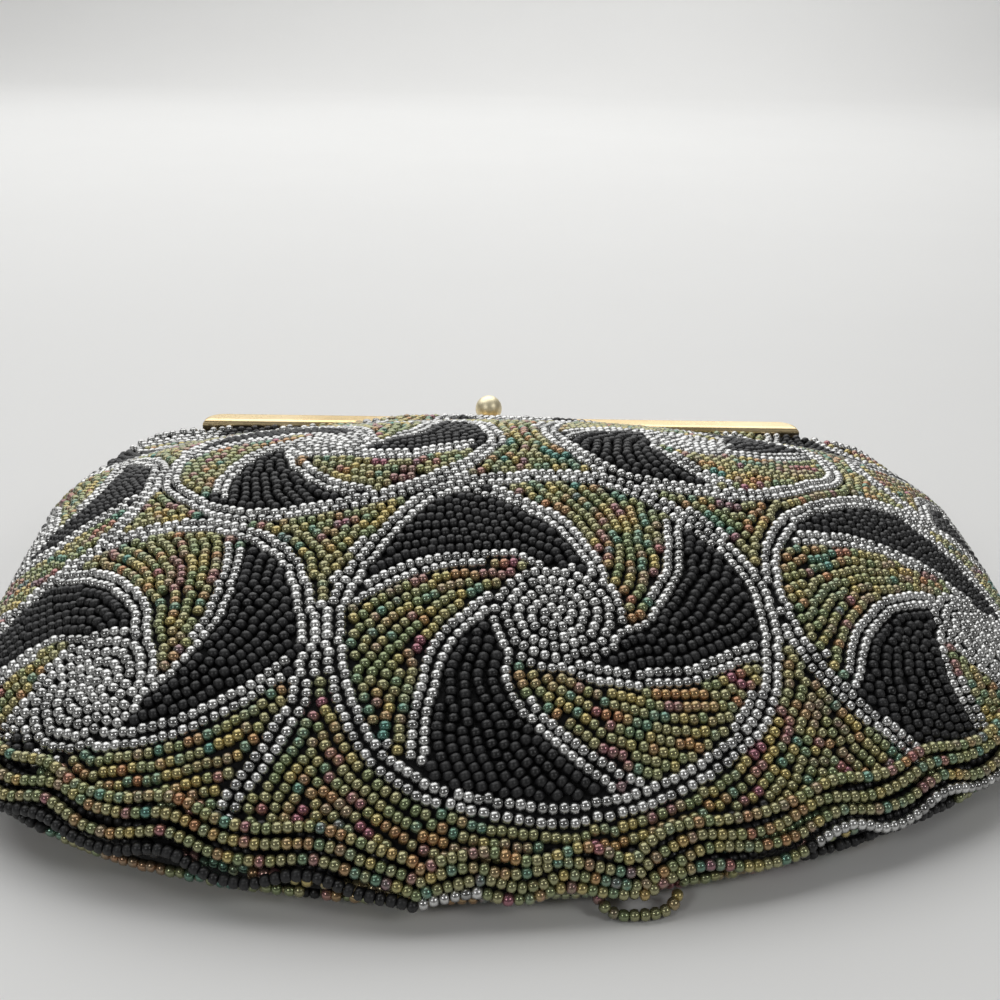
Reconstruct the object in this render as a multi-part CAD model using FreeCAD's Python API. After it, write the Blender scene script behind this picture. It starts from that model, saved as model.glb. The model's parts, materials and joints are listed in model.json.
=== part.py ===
import FreeCAD, Part
import math
import os

# Kiss lock frame purse of beaded cloth, lying on its back. Millimetres.
# X runs across the purse, Y from the bottom seam to the frame, Z up from the surface it lies on.
# The origin is on that surface, under the middle of the pouch.

# Pouch outline and heights
BOTTOM_Y = -71.8            # bottom seam
BODY_LENGTH = 135.8         # bottom seam to the near face of the frame's bar
HALF_WIDTH = 99.5           # half the pouch's greatest width
WIDE_LOW_Y = 3.5            # below this the sides curve in towards the bottom seam
WIDE_HIGH_Y = 30.0          # above this the sides draw in towards the shoulders
BOTTOM_ROUND = 1.6          # how far past the bottom seam the side curves would meet
SWAY_SLOPE = 0.076          # the pouch lies swung round a little under its frame: slope of its bottom seam
SWAY_END_Y = 30.0           # above this the cloth runs straight up to the frame
SHOULDER_OUT = 16.4         # how far each shoulder stands out past the end of the bar
SHOULDER_DROP = 6.0         # how far the shoulder corners lie below the bar's near face
SEAM_LOW = 4.0              # height of the seam at the bottom
BELLY_Y = 4.0               # where the front is fullest
BELLY_RISE = 31.4           # front's height over the seam there
UPPER_RISE = 5.4            # front's height over the seam where it reaches the frame
MOUTH_FROM_Y = 20.0         # above this the cloth takes up the shape of the frame's mouth
MOUTH_RISE = 6.4            # front's height over the frame's middle, along the bar
BULGE_RISE = 7.4            # extra fullness before the bar, which hides its middle from the front
BULGE_X = -4.5
BULGE_HALF = 36.0
BULGE_TUCK = 0.7            # share of that fullness drawn down again where the cloth enters the bar
BULGE_TUCK_LENGTH = 8.0
BACK_DIP = 0.8              # how far the back is pressed flat where the purse lies on it
BACK_LIFT_Y = 24.0          # above this the back rises to the frame
BACK_ROUND_Y = -22.0        # below this the back rounds up to the bottom seam
BACK_DROP = 6.1             # back's depth under the frame's middle, along the bar

# Powers that set how the outline and the cloth curve: larger stays full for longer
OUTLINE_LOW, OUTLINE_LOW_ROUND = 3.9, 1.44
OUTLINE_HIGH = 1.4
SHOULDER_CORNER = 8.0
MOUTH_TAKE_UP = 3.0
FRONT_LOW, FRONT_LOW_ROUND = 1.7, 0.6
FRONT_HIGH = 1.6
FRONT_SIDE, FRONT_SIDE_ROUND = 2.4, 0.65
MOUTH_SIDE, MOUTH_SIDE_ROUND = 10.0, 0.5
BULGE_SIDE = 4.0
BACK_LOW, BACK_SIDE, BACK_ROUND = 6.0, 4.0, 0.5

# Points that the cloth faces pass through, crowded towards the bottom seam
ACROSS_POINTS, ALONG_POINTS = 25, 37
SEAM_CROWDING = 1.5

# Cloth layers
PANEL = 2.6                 # ground cloth with its beads
LINING = 0.8
LAYER_GAP = 0.7             # between panel and lining
CLOTH_GAP = 0.3             # between cloth that moves and its neighbours
LINING_INSET = 4.0          # lining's mouth ends this far inside the frame's arms

# Frame: two halves that close on each other
FRAME_Z = 24.5              # plane between the halves
FRAME_GAP = 0.4
BAR_HALF = 72.0             # half the bar's length
BAR_DEPTH = 6.0
BAR_HEIGHT = 6.2
BAR_ROUND = 1.3             # rounding of the bar's long outer edges
BAR_CORNER = 4.5            # rounding of the bar's ends, seen from above
CHANNEL_HEIGHT = 3.4
CHANNEL_DEPTH = 4.5
CHANNEL_END = 7.0           # solid metal left at each end of the channel
ARM_LENGTH = 22.0           # bar's near face to the hinge axis
ARM_THICK = 2.0
ARM_HEIGHT = 1.9
ARM_GAP = 0.4               # between the front and the back arm
ARM_INSET = 0.9             # outer arm to the end of the bar
EAR_RADIUS = 3.5
PIN_RADIUS = 1.0
PIN_CLEARANCE = 0.05
PIN_HEAD_RADIUS = 1.9
PIN_HEAD = 0.6
WASHER_RADIUS = 2.6
WASHER_PLAY = 0.05

# Hem in the channel
TAPE = 1.2
CORD_RADIUS = 0.85
HEM_GAP = 0.1
CREASE_BELOW = 5.0          # front panel's fold, below the hinge axis

# Kiss lock
BALL_RADIUS = 3.25
BALL_GAP = 0.3
STEM_RADIUS = 1.1
STEM_OUT = 4.1              # bar's far face to the middle of the upright
STEM_BEND = 2.2
STEM_RISE = 10.3
STEM_FOOT_RADIUS = 2.3
STEM_FOOT = 0.9
STEM_SEAT = 2.0             # how far the stem goes into the ball
LOCK_CLEARANCE = 0.05

# Chain and what carries it
LUG_INSET = 10.0            # lug to the end of the bar
LUG_RADIUS = 3.6
LUG_WIRE = 0.7              # wire radius
RING_RADIUS = 2.6
RING_WIRE = 0.6
LINK_LENGTH = 8.4
LINK_WIDTH = 5.4
LINK_WIRE = 0.75
LINK_PITCH = 5.2
LINK_PLAY = 0.15
CHAIN_HANG_DEG = 50.0       # slope at which the chain leaves its lugs
CHAIN_LIE_DEG = 45.0        # how far the links are turned where the chain lies
CHAIN_TURN_LINKS = 6        # links over which the chain takes that turn
CHAIN_DRAWN_HALF = 62.0     # lugs' distance from the middle for which the route below is drawn
CHAIN_ROUTE = [
    (-63.2, 84.6, 8.9), (-66.2, 90, 5.6), (-69.5, 97.5, 3.5), (-71.5, 108, 2.7), (-69.5, 119.5, 2.6),
    (-63.5, 130.5, 2.6), (-53.5, 138.5, 2.6), (-42.5, 138, 2.6), (-35, 129, 2.6), (-29.5, 116, 2.6),
    (-19, 105.5, 2.6), (-4, 101.5, 2.6), (12, 104, 2.6), (26, 111, 2.6), (38, 119, 2.6),
    (50, 121, 2.6), (61, 116, 2.6), (67.5, 106.5, 2.7), (68.3, 97.5, 3.5), (66.2, 90, 5.6),
    (63.2, 84.6, 8.9),
]

# Places worked out from the sizes above
V = FreeCAD.Vector
X_AXIS, Y_AXIS, Z_AXIS = V(1, 0, 0), V(0, 1, 0), V(0, 0, 1)
BAR_Y = BOTTOM_Y + BODY_LENGTH
BAR_FAR_Y = BAR_Y + BAR_DEPTH
MOUTH_Y = BAR_Y - CLOTH_GAP
HINGE_Y = BAR_Y - ARM_LENGTH
CREASE_Y = HINGE_Y - CREASE_BELOW
MOUTH_HALF = BAR_HALF + SHOULDER_OUT
LUG_X = BAR_HALF - LUG_INSET
OUTER_ARM_X = BAR_HALF - ARM_INSET - ARM_THICK
INNER_ARM_X = OUTER_ARM_X - ARM_GAP - ARM_THICK
LINING_HALF = INNER_ARM_X - LINING_INSET
FRONT, BACK = 1, -1


def half_width(y):
    """Half the pouch's width at a place along it."""
    if y < WIDE_LOW_Y:
        t = (WIDE_LOW_Y - y) / (WIDE_LOW_Y - BOTTOM_Y + BOTTOM_ROUND)
        return HALF_WIDTH * (1 - t ** OUTLINE_LOW) ** (1 / OUTLINE_LOW_ROUND)
    t = max(0.0, (y - WIDE_HIGH_Y) / (BAR_Y - WIDE_HIGH_Y))
    return HALF_WIDTH - (HALF_WIDTH - MOUTH_HALF) * t ** OUTLINE_HIGH


def seam_height(y):
    """Height of the side seam, which rises evenly to the frame."""
    return SEAM_LOW + (FRAME_Z - SEAM_LOW) * (y - BOTTOM_Y) / BODY_LENGTH


def smooth(t):
    """Ease from 0 to 1."""
    t = min(1.0, max(0.0, t))
    return t * t * (3 - 2 * t)


def bulge(x, y):
    """Extra fullness before the bar."""
    tucked = BULGE_TUCK * smooth((y - BAR_Y + BULGE_TUCK_LENGTH) / BULGE_TUCK_LENGTH)
    return BULGE_RISE * (1 - tucked) * math.exp(-((x - BULGE_X) / BULGE_HALF) ** BULGE_SIDE)


def mouth_share(y):
    """How far the cloth has taken the shape of the frame's mouth."""
    return max(0.0, (y - MOUTH_FROM_Y) / (BAR_Y - MOUTH_FROM_Y)) ** MOUTH_TAKE_UP


def sway(x, y):
    """How far the cloth is swung along the purse, most at the bottom seam."""
    return SWAY_SLOPE * x * (1 - smooth((y - BOTTOM_Y) / (SWAY_END_Y - BOTTOM_Y)))


def front_rise(u, x, y, inset):
    """Height of the front over the seam at u, the share of the half width, inset under its face."""
    if y < BELLY_Y:
        t = (BELLY_Y - y) / (BELLY_Y - BOTTOM_Y - inset)
        rise = (BELLY_RISE - inset) * (1 - min(1.0, t) ** FRONT_LOW) ** FRONT_LOW_ROUND
    else:
        t = (y - BELLY_Y) / (BAR_Y - BELLY_Y)
        rise = UPPER_RISE + (BELLY_RISE - UPPER_RISE) * (1 - t ** FRONT_HIGH) - inset
    body = rise * (1 - abs(u) ** FRONT_SIDE) ** FRONT_SIDE_ROUND
    mouth = (MOUTH_RISE - inset) * (1 - abs(u) ** MOUTH_SIDE) ** MOUTH_SIDE_ROUND
    if inset == 0:
        mouth += bulge(x, y)
    share = mouth_share(y)
    return body * (1 - share) + mouth * share


def back_rise(u, x, y, inset):
    """Height of the back over the seam, below zero; it dips under the surface that it lies on."""
    depth = seam_height(y) + BACK_DIP - inset
    if y < BACK_ROUND_Y:
        t = (BACK_ROUND_Y - y) / (BACK_ROUND_Y - BOTTOM_Y - inset)
        depth *= (1 - min(1.0, t) ** BACK_LOW) ** BACK_ROUND
    body = depth * (1 - abs(u) ** BACK_SIDE) ** BACK_ROUND
    mouth = (BACK_DROP - inset) * (1 - abs(u) ** MOUTH_SIDE) ** MOUTH_SIDE_ROUND
    lift = smooth((y - BACK_LIFT_Y) / (BAR_Y - BACK_LIFT_Y))
    return -body * (1 - lift) - mouth * lift


def cloth_grid(rise, inset, low_y, high_y, mouth_half, raised):
    """Grid of points on a cloth face that lies inset under the pouch's outside."""
    from_seam = low_y <= BOTTOM_Y
    rows = []
    for i in range(ALONG_POINTS):
        v = i / (ALONG_POINTS - 1)
        v = v ** SEAM_CROWDING if from_seam else v
        outside_y = low_y + (high_y - low_y) * v
        y = outside_y + inset * (1 - v) if from_seam else outside_y
        drawn = smooth((y - BELLY_Y) / (CREASE_Y - BELLY_Y)) if mouth_half else 0.0
        row = []
        for j in range(ACROSS_POINTS):
            u = math.sin(math.pi / 2 * (2 * j / (ACROSS_POINTS - 1) - 1))
            x = u * (half_width(outside_y) - inset)
            z = seam_height(y) + rise(u, x, y, inset) + raised
            if drawn:
                x += (u * (mouth_half - inset) - x) * drawn
            drop = SHOULDER_DROP * mouth_share(y) * abs(u) ** SHOULDER_CORNER
            row.append(V(x, y - drop + sway(x, y), z))
        rows.append(row)
    return rows


def cloth(rise, inset, thick, low_y, high_y, mouth_half=None, raised=0.0):
    """Layer of cloth between two places along the pouch.

    Its outer face lies inset under the pouch's outside and its inner face thick below that.
    mouth_half draws the sides in to that half width below the hinge, and raised lifts the cloth.
    """
    outer = cloth_grid(rise, inset, low_y, high_y, mouth_half, raised)
    inner = cloth_grid(rise, inset + thick, low_y, high_y, mouth_half, raised)
    return solid_between(outer, inner)


def solid_between(outer, inner):
    """Closed solid between two grids of points of the same counts."""
    surfaces = []
    for grid in (outer, inner):
        surface = Part.BSplineSurface()
        surface.interpolate(grid)
        surfaces.append(surface)
    faces = [surface.toShape() for surface in surfaces]
    bounds = [surface.bounds() for surface in surfaces]
    for end in (0, 1):
        rims = [s.uIso(b[end]).toShape() for s, b in zip(surfaces, bounds)]
        faces.append(Part.makeRuledSurface(*rims))
        rims = [s.vIso(b[2 + end]).toShape() for s, b in zip(surfaces, bounds)]
        faces.append(Part.makeRuledSurface(*rims))
    skin = Part.makeCompound(faces)
    skin.sewShape()
    solid = Part.Solid(skin.Shells[0])
    if solid.Volume < 0:
        solid.reverse()
    return solid


def panels():
    """Beaded panels; the front's upper part is a piece of its own that follows the frame."""
    back = cloth(back_rise, 0.0, PANEL, BOTTOM_Y, MOUTH_Y)
    reach = 2 * (HALF_WIDTH + BODY_LENGTH)
    under = Part.makeBox(2 * reach, 2 * reach, reach, V(-reach, -reach, -reach))
    fold_y = CREASE_Y + CLOTH_GAP
    return {
        "back_panel": back.cut(under),
        "front_panel": cloth(front_rise, 0.0, PANEL, BOTTOM_Y, CREASE_Y),
        "front_panel_mouth": cloth(front_rise, 0.0, PANEL, fold_y, MOUTH_Y, raised=CLOTH_GAP),
    }


def linings():
    """Lining inside the panels, drawn in at the mouth to pass between the frame's arms."""
    inset = PANEL + LAYER_GAP
    fold_y = CREASE_Y + CLOTH_GAP
    return {
        "back_lining": cloth(back_rise, inset, LINING, BOTTOM_Y, MOUTH_Y, LINING_HALF),
        "front_lining": cloth(front_rise, inset, LINING, BOTTOM_Y, CREASE_Y, LINING_HALF),
        "front_lining_mouth": cloth(
            front_rise, inset, LINING, fold_y, MOUTH_Y, LINING_HALF, CLOTH_GAP),
    }


def slab(outline, thick, direction):
    """Solid of a closed outline of points, pushed along a direction."""
    face = Part.Face(Part.makePolygon(outline + [outline[0]]))
    return face.extrude(direction * thick)


def bar(side):
    """Bar of one frame half, with a channel open towards the cloth."""
    near_z = FRAME_Z + side * FRAME_GAP / 2
    low_z = min(near_z, near_z + side * BAR_HEIGHT)
    body = Part.makeBox(2 * BAR_HALF, BAR_DEPTH, BAR_HEIGHT, V(-BAR_HALF, BAR_Y, low_z))
    ends = [e for e in body.Edges if upright(e) and e.CenterOfMass.y > BAR_Y + BAR_DEPTH / 2]
    body = body.makeFillet(BAR_CORNER, ends)
    outer_z = near_z + side * BAR_HEIGHT
    rims = [e for e in body.Edges if abs(e.CenterOfMass.z - outer_z) < 1e-6]
    body = body.makeFillet(BAR_ROUND, rims)
    half = BAR_HALF - CHANNEL_END
    middle = channel_middle(side)
    corner = V(-half, BAR_Y, middle - CHANNEL_HEIGHT / 2)
    return body.cut(Part.makeBox(2 * half, CHANNEL_DEPTH, CHANNEL_HEIGHT, corner))


def upright(edge):
    """Whether an edge runs along Z."""
    first, last = edge.Vertexes[0].Point, edge.Vertexes[-1].Point
    return abs(first.x - last.x) < 1e-6 and abs(first.y - last.y) < 1e-6


def channel_middle(side):
    """Height of the middle of a frame half's channel."""
    return FRAME_Z + side * (FRAME_GAP + BAR_HEIGHT) / 2


def arm(side, inner_x):
    """Right arm of a frame half, from its bar down to an ear round the hinge axis."""
    near_z = FRAME_Z + side * FRAME_GAP / 2
    far_z = near_z + side * ARM_HEIGHT
    ear_z = FRAME_Z + side * EAR_RADIUS
    turn_y = HINGE_Y + 2 * EAR_RADIUS
    outline = [
        V(inner_x, BAR_Y + BAR_DEPTH / 2, near_z),
        V(inner_x, HINGE_Y, near_z),
        V(inner_x, HINGE_Y, ear_z),
        V(inner_x, turn_y, far_z),
        V(inner_x, BAR_Y + BAR_DEPTH / 2, far_z),
    ]
    strip = slab(outline, ARM_THICK, X_AXIS)
    ear = Part.makeCylinder(EAR_RADIUS, ARM_THICK, V(inner_x, HINGE_Y, FRAME_Z), X_AXIS)
    return strip.fuse(ear)


def frame_half(side, inner_x, hole_radius):
    """One frame half: bar, two arms and the hinge holes."""
    right = arm(side, inner_x)
    left = right.mirror(V(0, 0, 0), X_AXIS)
    body = bar(side).fuse([right, left])
    hole = Part.makeCylinder(hole_radius, 2 * BAR_HALF, V(-BAR_HALF, HINGE_Y, FRAME_Z), X_AXIS)
    return body.cut(hole).removeSplitter()


def hinge_pin():
    """Right hinge pin, headed against the outer arm and, with play, the inner one."""
    inside = INNER_ARM_X - PIN_CLEARANCE
    outside = OUTER_ARM_X + ARM_THICK
    middle = V(inside, HINGE_Y, FRAME_Z)
    shank = Part.makeCylinder(PIN_RADIUS, outside - inside, middle, X_AXIS)
    inner_head = Part.makeCylinder(PIN_HEAD_RADIUS, PIN_HEAD, middle - X_AXIS * PIN_HEAD, X_AXIS)
    outer_head = Part.makeCylinder(PIN_HEAD_RADIUS, PIN_HEAD, V(outside, HINGE_Y, FRAME_Z), X_AXIS)
    return shank.fuse([inner_head, outer_head]).removeSplitter()


def washer():
    """Right washer between the two arms."""
    place = V(INNER_ARM_X + ARM_THICK + WASHER_PLAY, HINGE_Y, FRAME_Z)
    thick = ARM_GAP - 2 * WASHER_PLAY
    disc = Part.makeCylinder(WASHER_RADIUS, thick, place, X_AXIS)
    return disc.cut(Part.makeCylinder(PIN_RADIUS + PIN_CLEARANCE, thick, place, X_AXIS))


def mirrored(shape):
    """The same piece on the other side of the purse."""
    return shape.mirror(V(0, 0, 0), X_AXIS)


def hem(side):
    """Hem tape and crimped cord that fill a frame half's channel."""
    half = BAR_HALF - CHANNEL_END - HEM_GAP
    outer_z = channel_middle(side) + side * (CHANNEL_HEIGHT / 2 - HEM_GAP)
    tape_low = min(outer_z, outer_z - side * TAPE)
    tape_end = BAR_Y + CHANNEL_DEPTH - HEM_GAP
    tape = Part.makeBox(2 * half, tape_end - MOUTH_Y, TAPE, V(-half, MOUTH_Y, tape_low))
    cord_z = outer_z - side * (TAPE + CORD_RADIUS)
    cord_y = tape_end - CORD_RADIUS
    cord = Part.makeCylinder(CORD_RADIUS, 2 * half, V(-half, cord_y, cord_z), X_AXIS)
    return tape, cord


def back_lock():
    """Stem and ball on the back half; the stem reaches out and then up past the front bar."""
    x = -(BALL_RADIUS + BALL_GAP / 2)
    low_z = channel_middle(BACK)
    ball_z = low_z + STEM_RISE
    foot_y = BAR_FAR_Y + LOCK_CLEARANCE
    out_y = BAR_FAR_Y + STEM_OUT
    tip_z = ball_z - BALL_RADIUS + STEM_SEAT
    foot = Part.makeCylinder(STEM_FOOT_RADIUS, STEM_FOOT, V(x, foot_y, low_z), Y_AXIS)
    bend_y = out_y - STEM_BEND
    run = Part.makeCylinder(STEM_RADIUS, bend_y - foot_y, V(x, foot_y, low_z), Y_AXIS)
    circle = Part.Face(Part.Wire(Part.makeCircle(STEM_RADIUS, V(x, bend_y, low_z), Y_AXIS)))
    elbow = circle.revolve(V(x, bend_y, low_z + STEM_BEND), X_AXIS, 90)
    rise = Part.makeCylinder(STEM_RADIUS, tip_z - low_z - STEM_BEND, V(x, out_y, low_z + STEM_BEND), Z_AXIS)
    stem = foot.fuse([run, elbow, rise]).removeSplitter()
    ball = Part.makeSphere(BALL_RADIUS, V(x, out_y, ball_z))
    seat = Part.makeCylinder(STEM_RADIUS, BALL_RADIUS, V(x, out_y, tip_z - BALL_RADIUS), Z_AXIS)
    return stem, ball.cut(seat)


def turned_over(shape):
    """The same piece on the other frame half."""
    copy = shape.copy()
    copy.rotate(V(0, 0, FRAME_Z), Y_AXIS, 180)
    return copy


def chain_lug():
    """Right lug: half a ring standing on the back bar's far face."""
    middle = V(LUG_X, BAR_FAR_Y, channel_middle(BACK))
    wire = Part.makeTorus(LUG_RADIUS, LUG_WIRE, middle, Z_AXIS)
    room = 2 * (LUG_RADIUS + LUG_WIRE)
    corner = middle + V(-room / 2, 0, -room / 2)
    return wire.common(Part.makeBox(room, room, room, corner))


def lug_wire_middle(side):
    """Point on the chain's swing axis in the middle of a lug's wire."""
    return V(side * LUG_X, BAR_FAR_Y + LUG_RADIUS, channel_middle(BACK))


def hang():
    """Direction in which the chain leaves its lugs."""
    slope = math.radians(CHAIN_HANG_DEG)
    return V(0, math.cos(slope), -math.sin(slope))


def jump_ring(side):
    """Ring round a lug's wire, pulled down by the chain."""
    hold = RING_RADIUS - RING_WIRE - LUG_WIRE - LINK_PLAY
    return Part.makeTorus(RING_RADIUS, RING_WIRE, lug_wire_middle(side) + hang() * hold, X_AXIS)


def chain_end(side):
    """Middle of the last link at a lug."""
    hold = RING_RADIUS - RING_WIRE - LUG_WIRE - LINK_PLAY
    reach = RING_RADIUS - RING_WIRE - LINK_WIRE - LINK_PLAY
    return lug_wire_middle(side) + hang() * (hold + reach + LINK_LENGTH / 2 - LINK_WIRE)


def link():
    """One chain link at the origin, lengthwise along X in the XY plane."""
    radius = LINK_WIDTH / 2 - LINK_WIRE
    straight = LINK_LENGTH - LINK_WIDTH
    right = Part.makeTorus(radius, LINK_WIRE, V(straight / 2, 0, 0), Z_AXIS)
    left = Part.makeTorus(radius, LINK_WIRE, V(-straight / 2, 0, 0), Z_AXIS)
    room = 2 * LINK_LENGTH
    right = right.common(Part.makeBox(room, room, room, V(straight / 2, -room / 2, -room / 2)))
    left = left.common(Part.makeBox(room, room, room, V(-straight / 2 - room, -room / 2, -room / 2)))
    sides = [
        Part.makeCylinder(LINK_WIRE, straight, V(-straight / 2, y, 0), X_AXIS) for y in (radius, -radius)
    ]
    return right.fuse([left] + sides).removeSplitter()


def along_route(route, count):
    """Points and directions at even steps along a curve."""
    fine = 200 * count
    first, last = route.FirstParameter, route.LastParameter
    marks = [first + (last - first) * k / fine for k in range(fine + 1)]
    places = [route.value(mark) for mark in marks]
    travelled = [0.0]
    for k in range(fine):
        travelled.append(travelled[-1] + (places[k + 1] - places[k]).Length)
    steps = []
    k = 0
    for i in range(count):
        while k < fine and travelled[k] < travelled[-1] * i / (count - 1) - 1e-9:
            k += 1
        steps.append((places[k], route.tangent(marks[k])[0]))
    return steps


def chain():
    """Chain of links along its route, each turned a quarter turn from the last."""
    down = hang() * LINK_PITCH
    points = [chain_end(-1), chain_end(-1) + down]
    spread = LUG_X / CHAIN_DRAWN_HALF
    points += [V(x * spread, y, z) for x, y, z in CHAIN_ROUTE]
    points += [chain_end(1) + down, chain_end(1)]
    route = Part.BSplineCurve()
    route.interpolate(points)
    count = 1 + 2 * math.ceil(route.length() / LINK_PITCH / 2)
    pattern = link()
    links = []
    for i, (place, along) in enumerate(along_route(route, count)):
        side = along.cross(Z_AXIS).normalize()
        up = side.cross(along)
        from_end = min(i, count - 1 - i)
        roll = math.radians(90 * i + CHAIN_LIE_DEG * smooth(from_end / CHAIN_TURN_LINKS))
        across = side * math.cos(roll) + up * math.sin(roll)
        piece = pattern.copy()
        piece.Placement = FreeCAD.Placement(
            place, FreeCAD.Rotation(along, across, along.cross(across), "XYZ"))
        links.append(piece)
    print("chain: %d links, length %.1f" % (count, route.length()))
    return Part.makeCompound(links)


def build():
    """Every piece by its node's name."""
    pieces = {}
    pieces.update(panels())
    pieces.update(linings())
    pieces["back_frame"] = frame_half(BACK, OUTER_ARM_X, PIN_RADIUS)
    pieces["front_frame"] = frame_half(FRONT, INNER_ARM_X, PIN_RADIUS + PIN_CLEARANCE)
    pieces["back_hem_tape"], pieces["back_crimp_cord"] = hem(BACK)
    pieces["front_hem_tape"], pieces["front_crimp_cord"] = hem(FRONT)
    pieces["hinge_pin_right"] = hinge_pin()
    pieces["hinge_pin_left"] = mirrored(hinge_pin())
    pieces["hinge_washers"] = Part.makeCompound([washer(), mirrored(washer())])
    stem, ball = back_lock()
    pieces["back_lock_stem"], pieces["back_lock_ball"] = stem, ball
    pieces["front_lock_stem"], pieces["front_lock_ball"] = turned_over(stem), turned_over(ball)
    pieces["chain_lug_right"] = chain_lug()
    pieces["chain_lug_left"] = mirrored(chain_lug())
    pieces["jump_ring_right"] = jump_ring(1)
    pieces["jump_ring_left"] = jump_ring(-1)
    pieces["chain_links"] = chain()
    return pieces


os.makedirs("parts", exist_ok=True)
for name, shape in build().items():
    box = shape.BoundBox
    print("%-18s solids %2d valid %s volume %9.1f  x %.1f..%.1f y %.1f..%.1f z %.1f..%.1f" % (
        name, len(shape.Solids), shape.isValid(), shape.Volume,
        box.XMin, box.XMax, box.YMin, box.YMax, box.ZMin, box.ZMax))
    shape.exportStep("parts/%s.step" % name)
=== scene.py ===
import json
import math
import random
from typing import NamedTuple

import bpy
import numpy as np
from mathutils import Matrix, Vector


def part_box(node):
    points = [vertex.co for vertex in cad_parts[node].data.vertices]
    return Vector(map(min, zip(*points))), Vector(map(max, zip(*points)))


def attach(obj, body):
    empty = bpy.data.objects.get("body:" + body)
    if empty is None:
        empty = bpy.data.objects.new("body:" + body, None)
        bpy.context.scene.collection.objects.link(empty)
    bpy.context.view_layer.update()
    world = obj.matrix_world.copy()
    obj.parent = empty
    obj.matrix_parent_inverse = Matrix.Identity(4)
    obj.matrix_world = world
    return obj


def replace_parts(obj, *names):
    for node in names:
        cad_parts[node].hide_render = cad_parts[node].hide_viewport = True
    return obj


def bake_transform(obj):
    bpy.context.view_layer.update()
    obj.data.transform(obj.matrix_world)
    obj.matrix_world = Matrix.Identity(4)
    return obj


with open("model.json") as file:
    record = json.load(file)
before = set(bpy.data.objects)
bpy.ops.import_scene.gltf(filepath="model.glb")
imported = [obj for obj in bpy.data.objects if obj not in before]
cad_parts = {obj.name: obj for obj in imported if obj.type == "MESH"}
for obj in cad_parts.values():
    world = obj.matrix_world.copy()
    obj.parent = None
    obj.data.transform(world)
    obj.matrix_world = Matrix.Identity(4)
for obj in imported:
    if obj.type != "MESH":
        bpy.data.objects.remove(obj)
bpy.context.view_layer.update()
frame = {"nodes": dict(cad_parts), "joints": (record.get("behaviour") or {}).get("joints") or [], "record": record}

bl_info = {
    "name": "Beaded Kiss Lock Purse",
    "version": (1, 0, 0),
    "blender": (4, 5, 0),
    "location": "3D View > Sidebar > Purse",
    "description": "Ground cloth, strung beads, lining and gilt metal of a kiss lock frame purse",
    "category": "Object",
}

MM = 0.001
HINGE = next(joint for joint in frame["joints"] if joint["name"] == "frame_open")
HINGE_Y = HINGE["pos_m"][1] / MM
HINGE_Z = HINGE["pos_m"][2] / MM

# Outline of the pouch, in millimetres: X across it, Y from the bottom seam to the frame, Z up
BOTTOM_Y, BAR_Y, MOUTH_Y = -71.8, 64.0, 63.7
HALF_WIDTH, MOUTH_HALF, LINING_HALF = 99.5, 88.4, 62.7
WIDE_LOW_Y, WIDE_HIGH_Y, BOTTOM_ROUND = 3.5, 30.0, 1.6
OUTLINE_LOW, OUTLINE_LOW_ROUND, OUTLINE_HIGH = 3.9, 1.44, 1.4
MOUTH_FROM_Y, MOUTH_TURN = 20.0, 3
SHOULDER_DROP, SHOULDER_CORNER = 6.0, 8
SWAY_SLOPE, SWAY_END_Y = 0.076, 30.0
SEAM_LOW = 4.0

# Rise of the front and fall of the back from the side seam, and the powers that round them off
BELLY_Y, BELLY_RISE, UPPER_RISE, MOUTH_RISE = 4.0, 31.4, 5.4, 6.4
BELLY_FALL, BELLY_ROUND, UPPER_FALL = 1.7, 0.6, 1.6
FRONT_SIDE, FRONT_SIDE_ROUND = 2.4, 0.65
MOUTH_SIDE, MOUTH_SIDE_ROUND = 10, 0.5
BULGE_RISE, BULGE_X, BULGE_HALF, BULGE_SIDE = 7.4, -4.5, 36.0, 4
BULGE_TUCK, BULGE_TUCK_LENGTH = 0.7, 8.0
BACK_DIP, BACK_LIFT_Y, BACK_ROUND_Y, BACK_DROP = 0.8, 24.0, -22.0, 6.1
BACK_FALL, BACK_SIDE, BACK_ROUND = 6, 4, 0.5
SHOULDER_OPEN, SHOULDER_CLOSE, CLOTH_LAYERS = 73.0, 8.0, 2.5
CREASE_Y = HINGE_Y - 5.0
FOLD_START, FOLD_END = HINGE_Y - 11.0, HINGE_Y + 15.0

# Ripples of the cloth: height, length, how far and how often they wander, and where they end
RIPPLE, LINING_RIPPLE = 0.45, 0.25
RIPPLE_X, RIPPLE_Y = 11, 13
WANDER_X, WANDER_X_EVERY, WANDER_Y, WANDER_Y_EVERY = 1.3, 17, 0.7, 19
RIPPLE_SIDE, RIPPLE_TOP, RIPPLE_BOTTOM = 6, 15, 8

# Depths under the pouch's outside: where a cloth's rows are spaced, its outer and its inner face
CLOTH_DEPTHS, CLOTH_ROWS = (1.6, 1.65, 2.45), 90
LINING_DEPTHS, LINING_ROWS = (3.3, 3.35, 4.0), 80
CLOTH_COLUMNS, FACE_COLUMNS, FINE_ROWS = 97, 401, 4001
BEAD_LAYERS, BEAD_INSET = 3.0, 1.0

# Width, length and area of each cloth as it was cut, in metres
CUTS = {
    "front_cloth": (0.212, 0.149, 0.0270), "back_cloth": (0.207, 0.139, 0.0252),
    "front_satin": (0.207, 0.147, 0.0236), "back_satin": (0.199, 0.137, 0.0215)}

SILVER, BLACK, OLIVE = "silver", "black", "olive"
# Border strings are olive and black; the black ones are partly the purse's own dark beads, partly painted shade
# under the strands.
BORDER_MIX = (OLIVE, BLACK)
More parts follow.
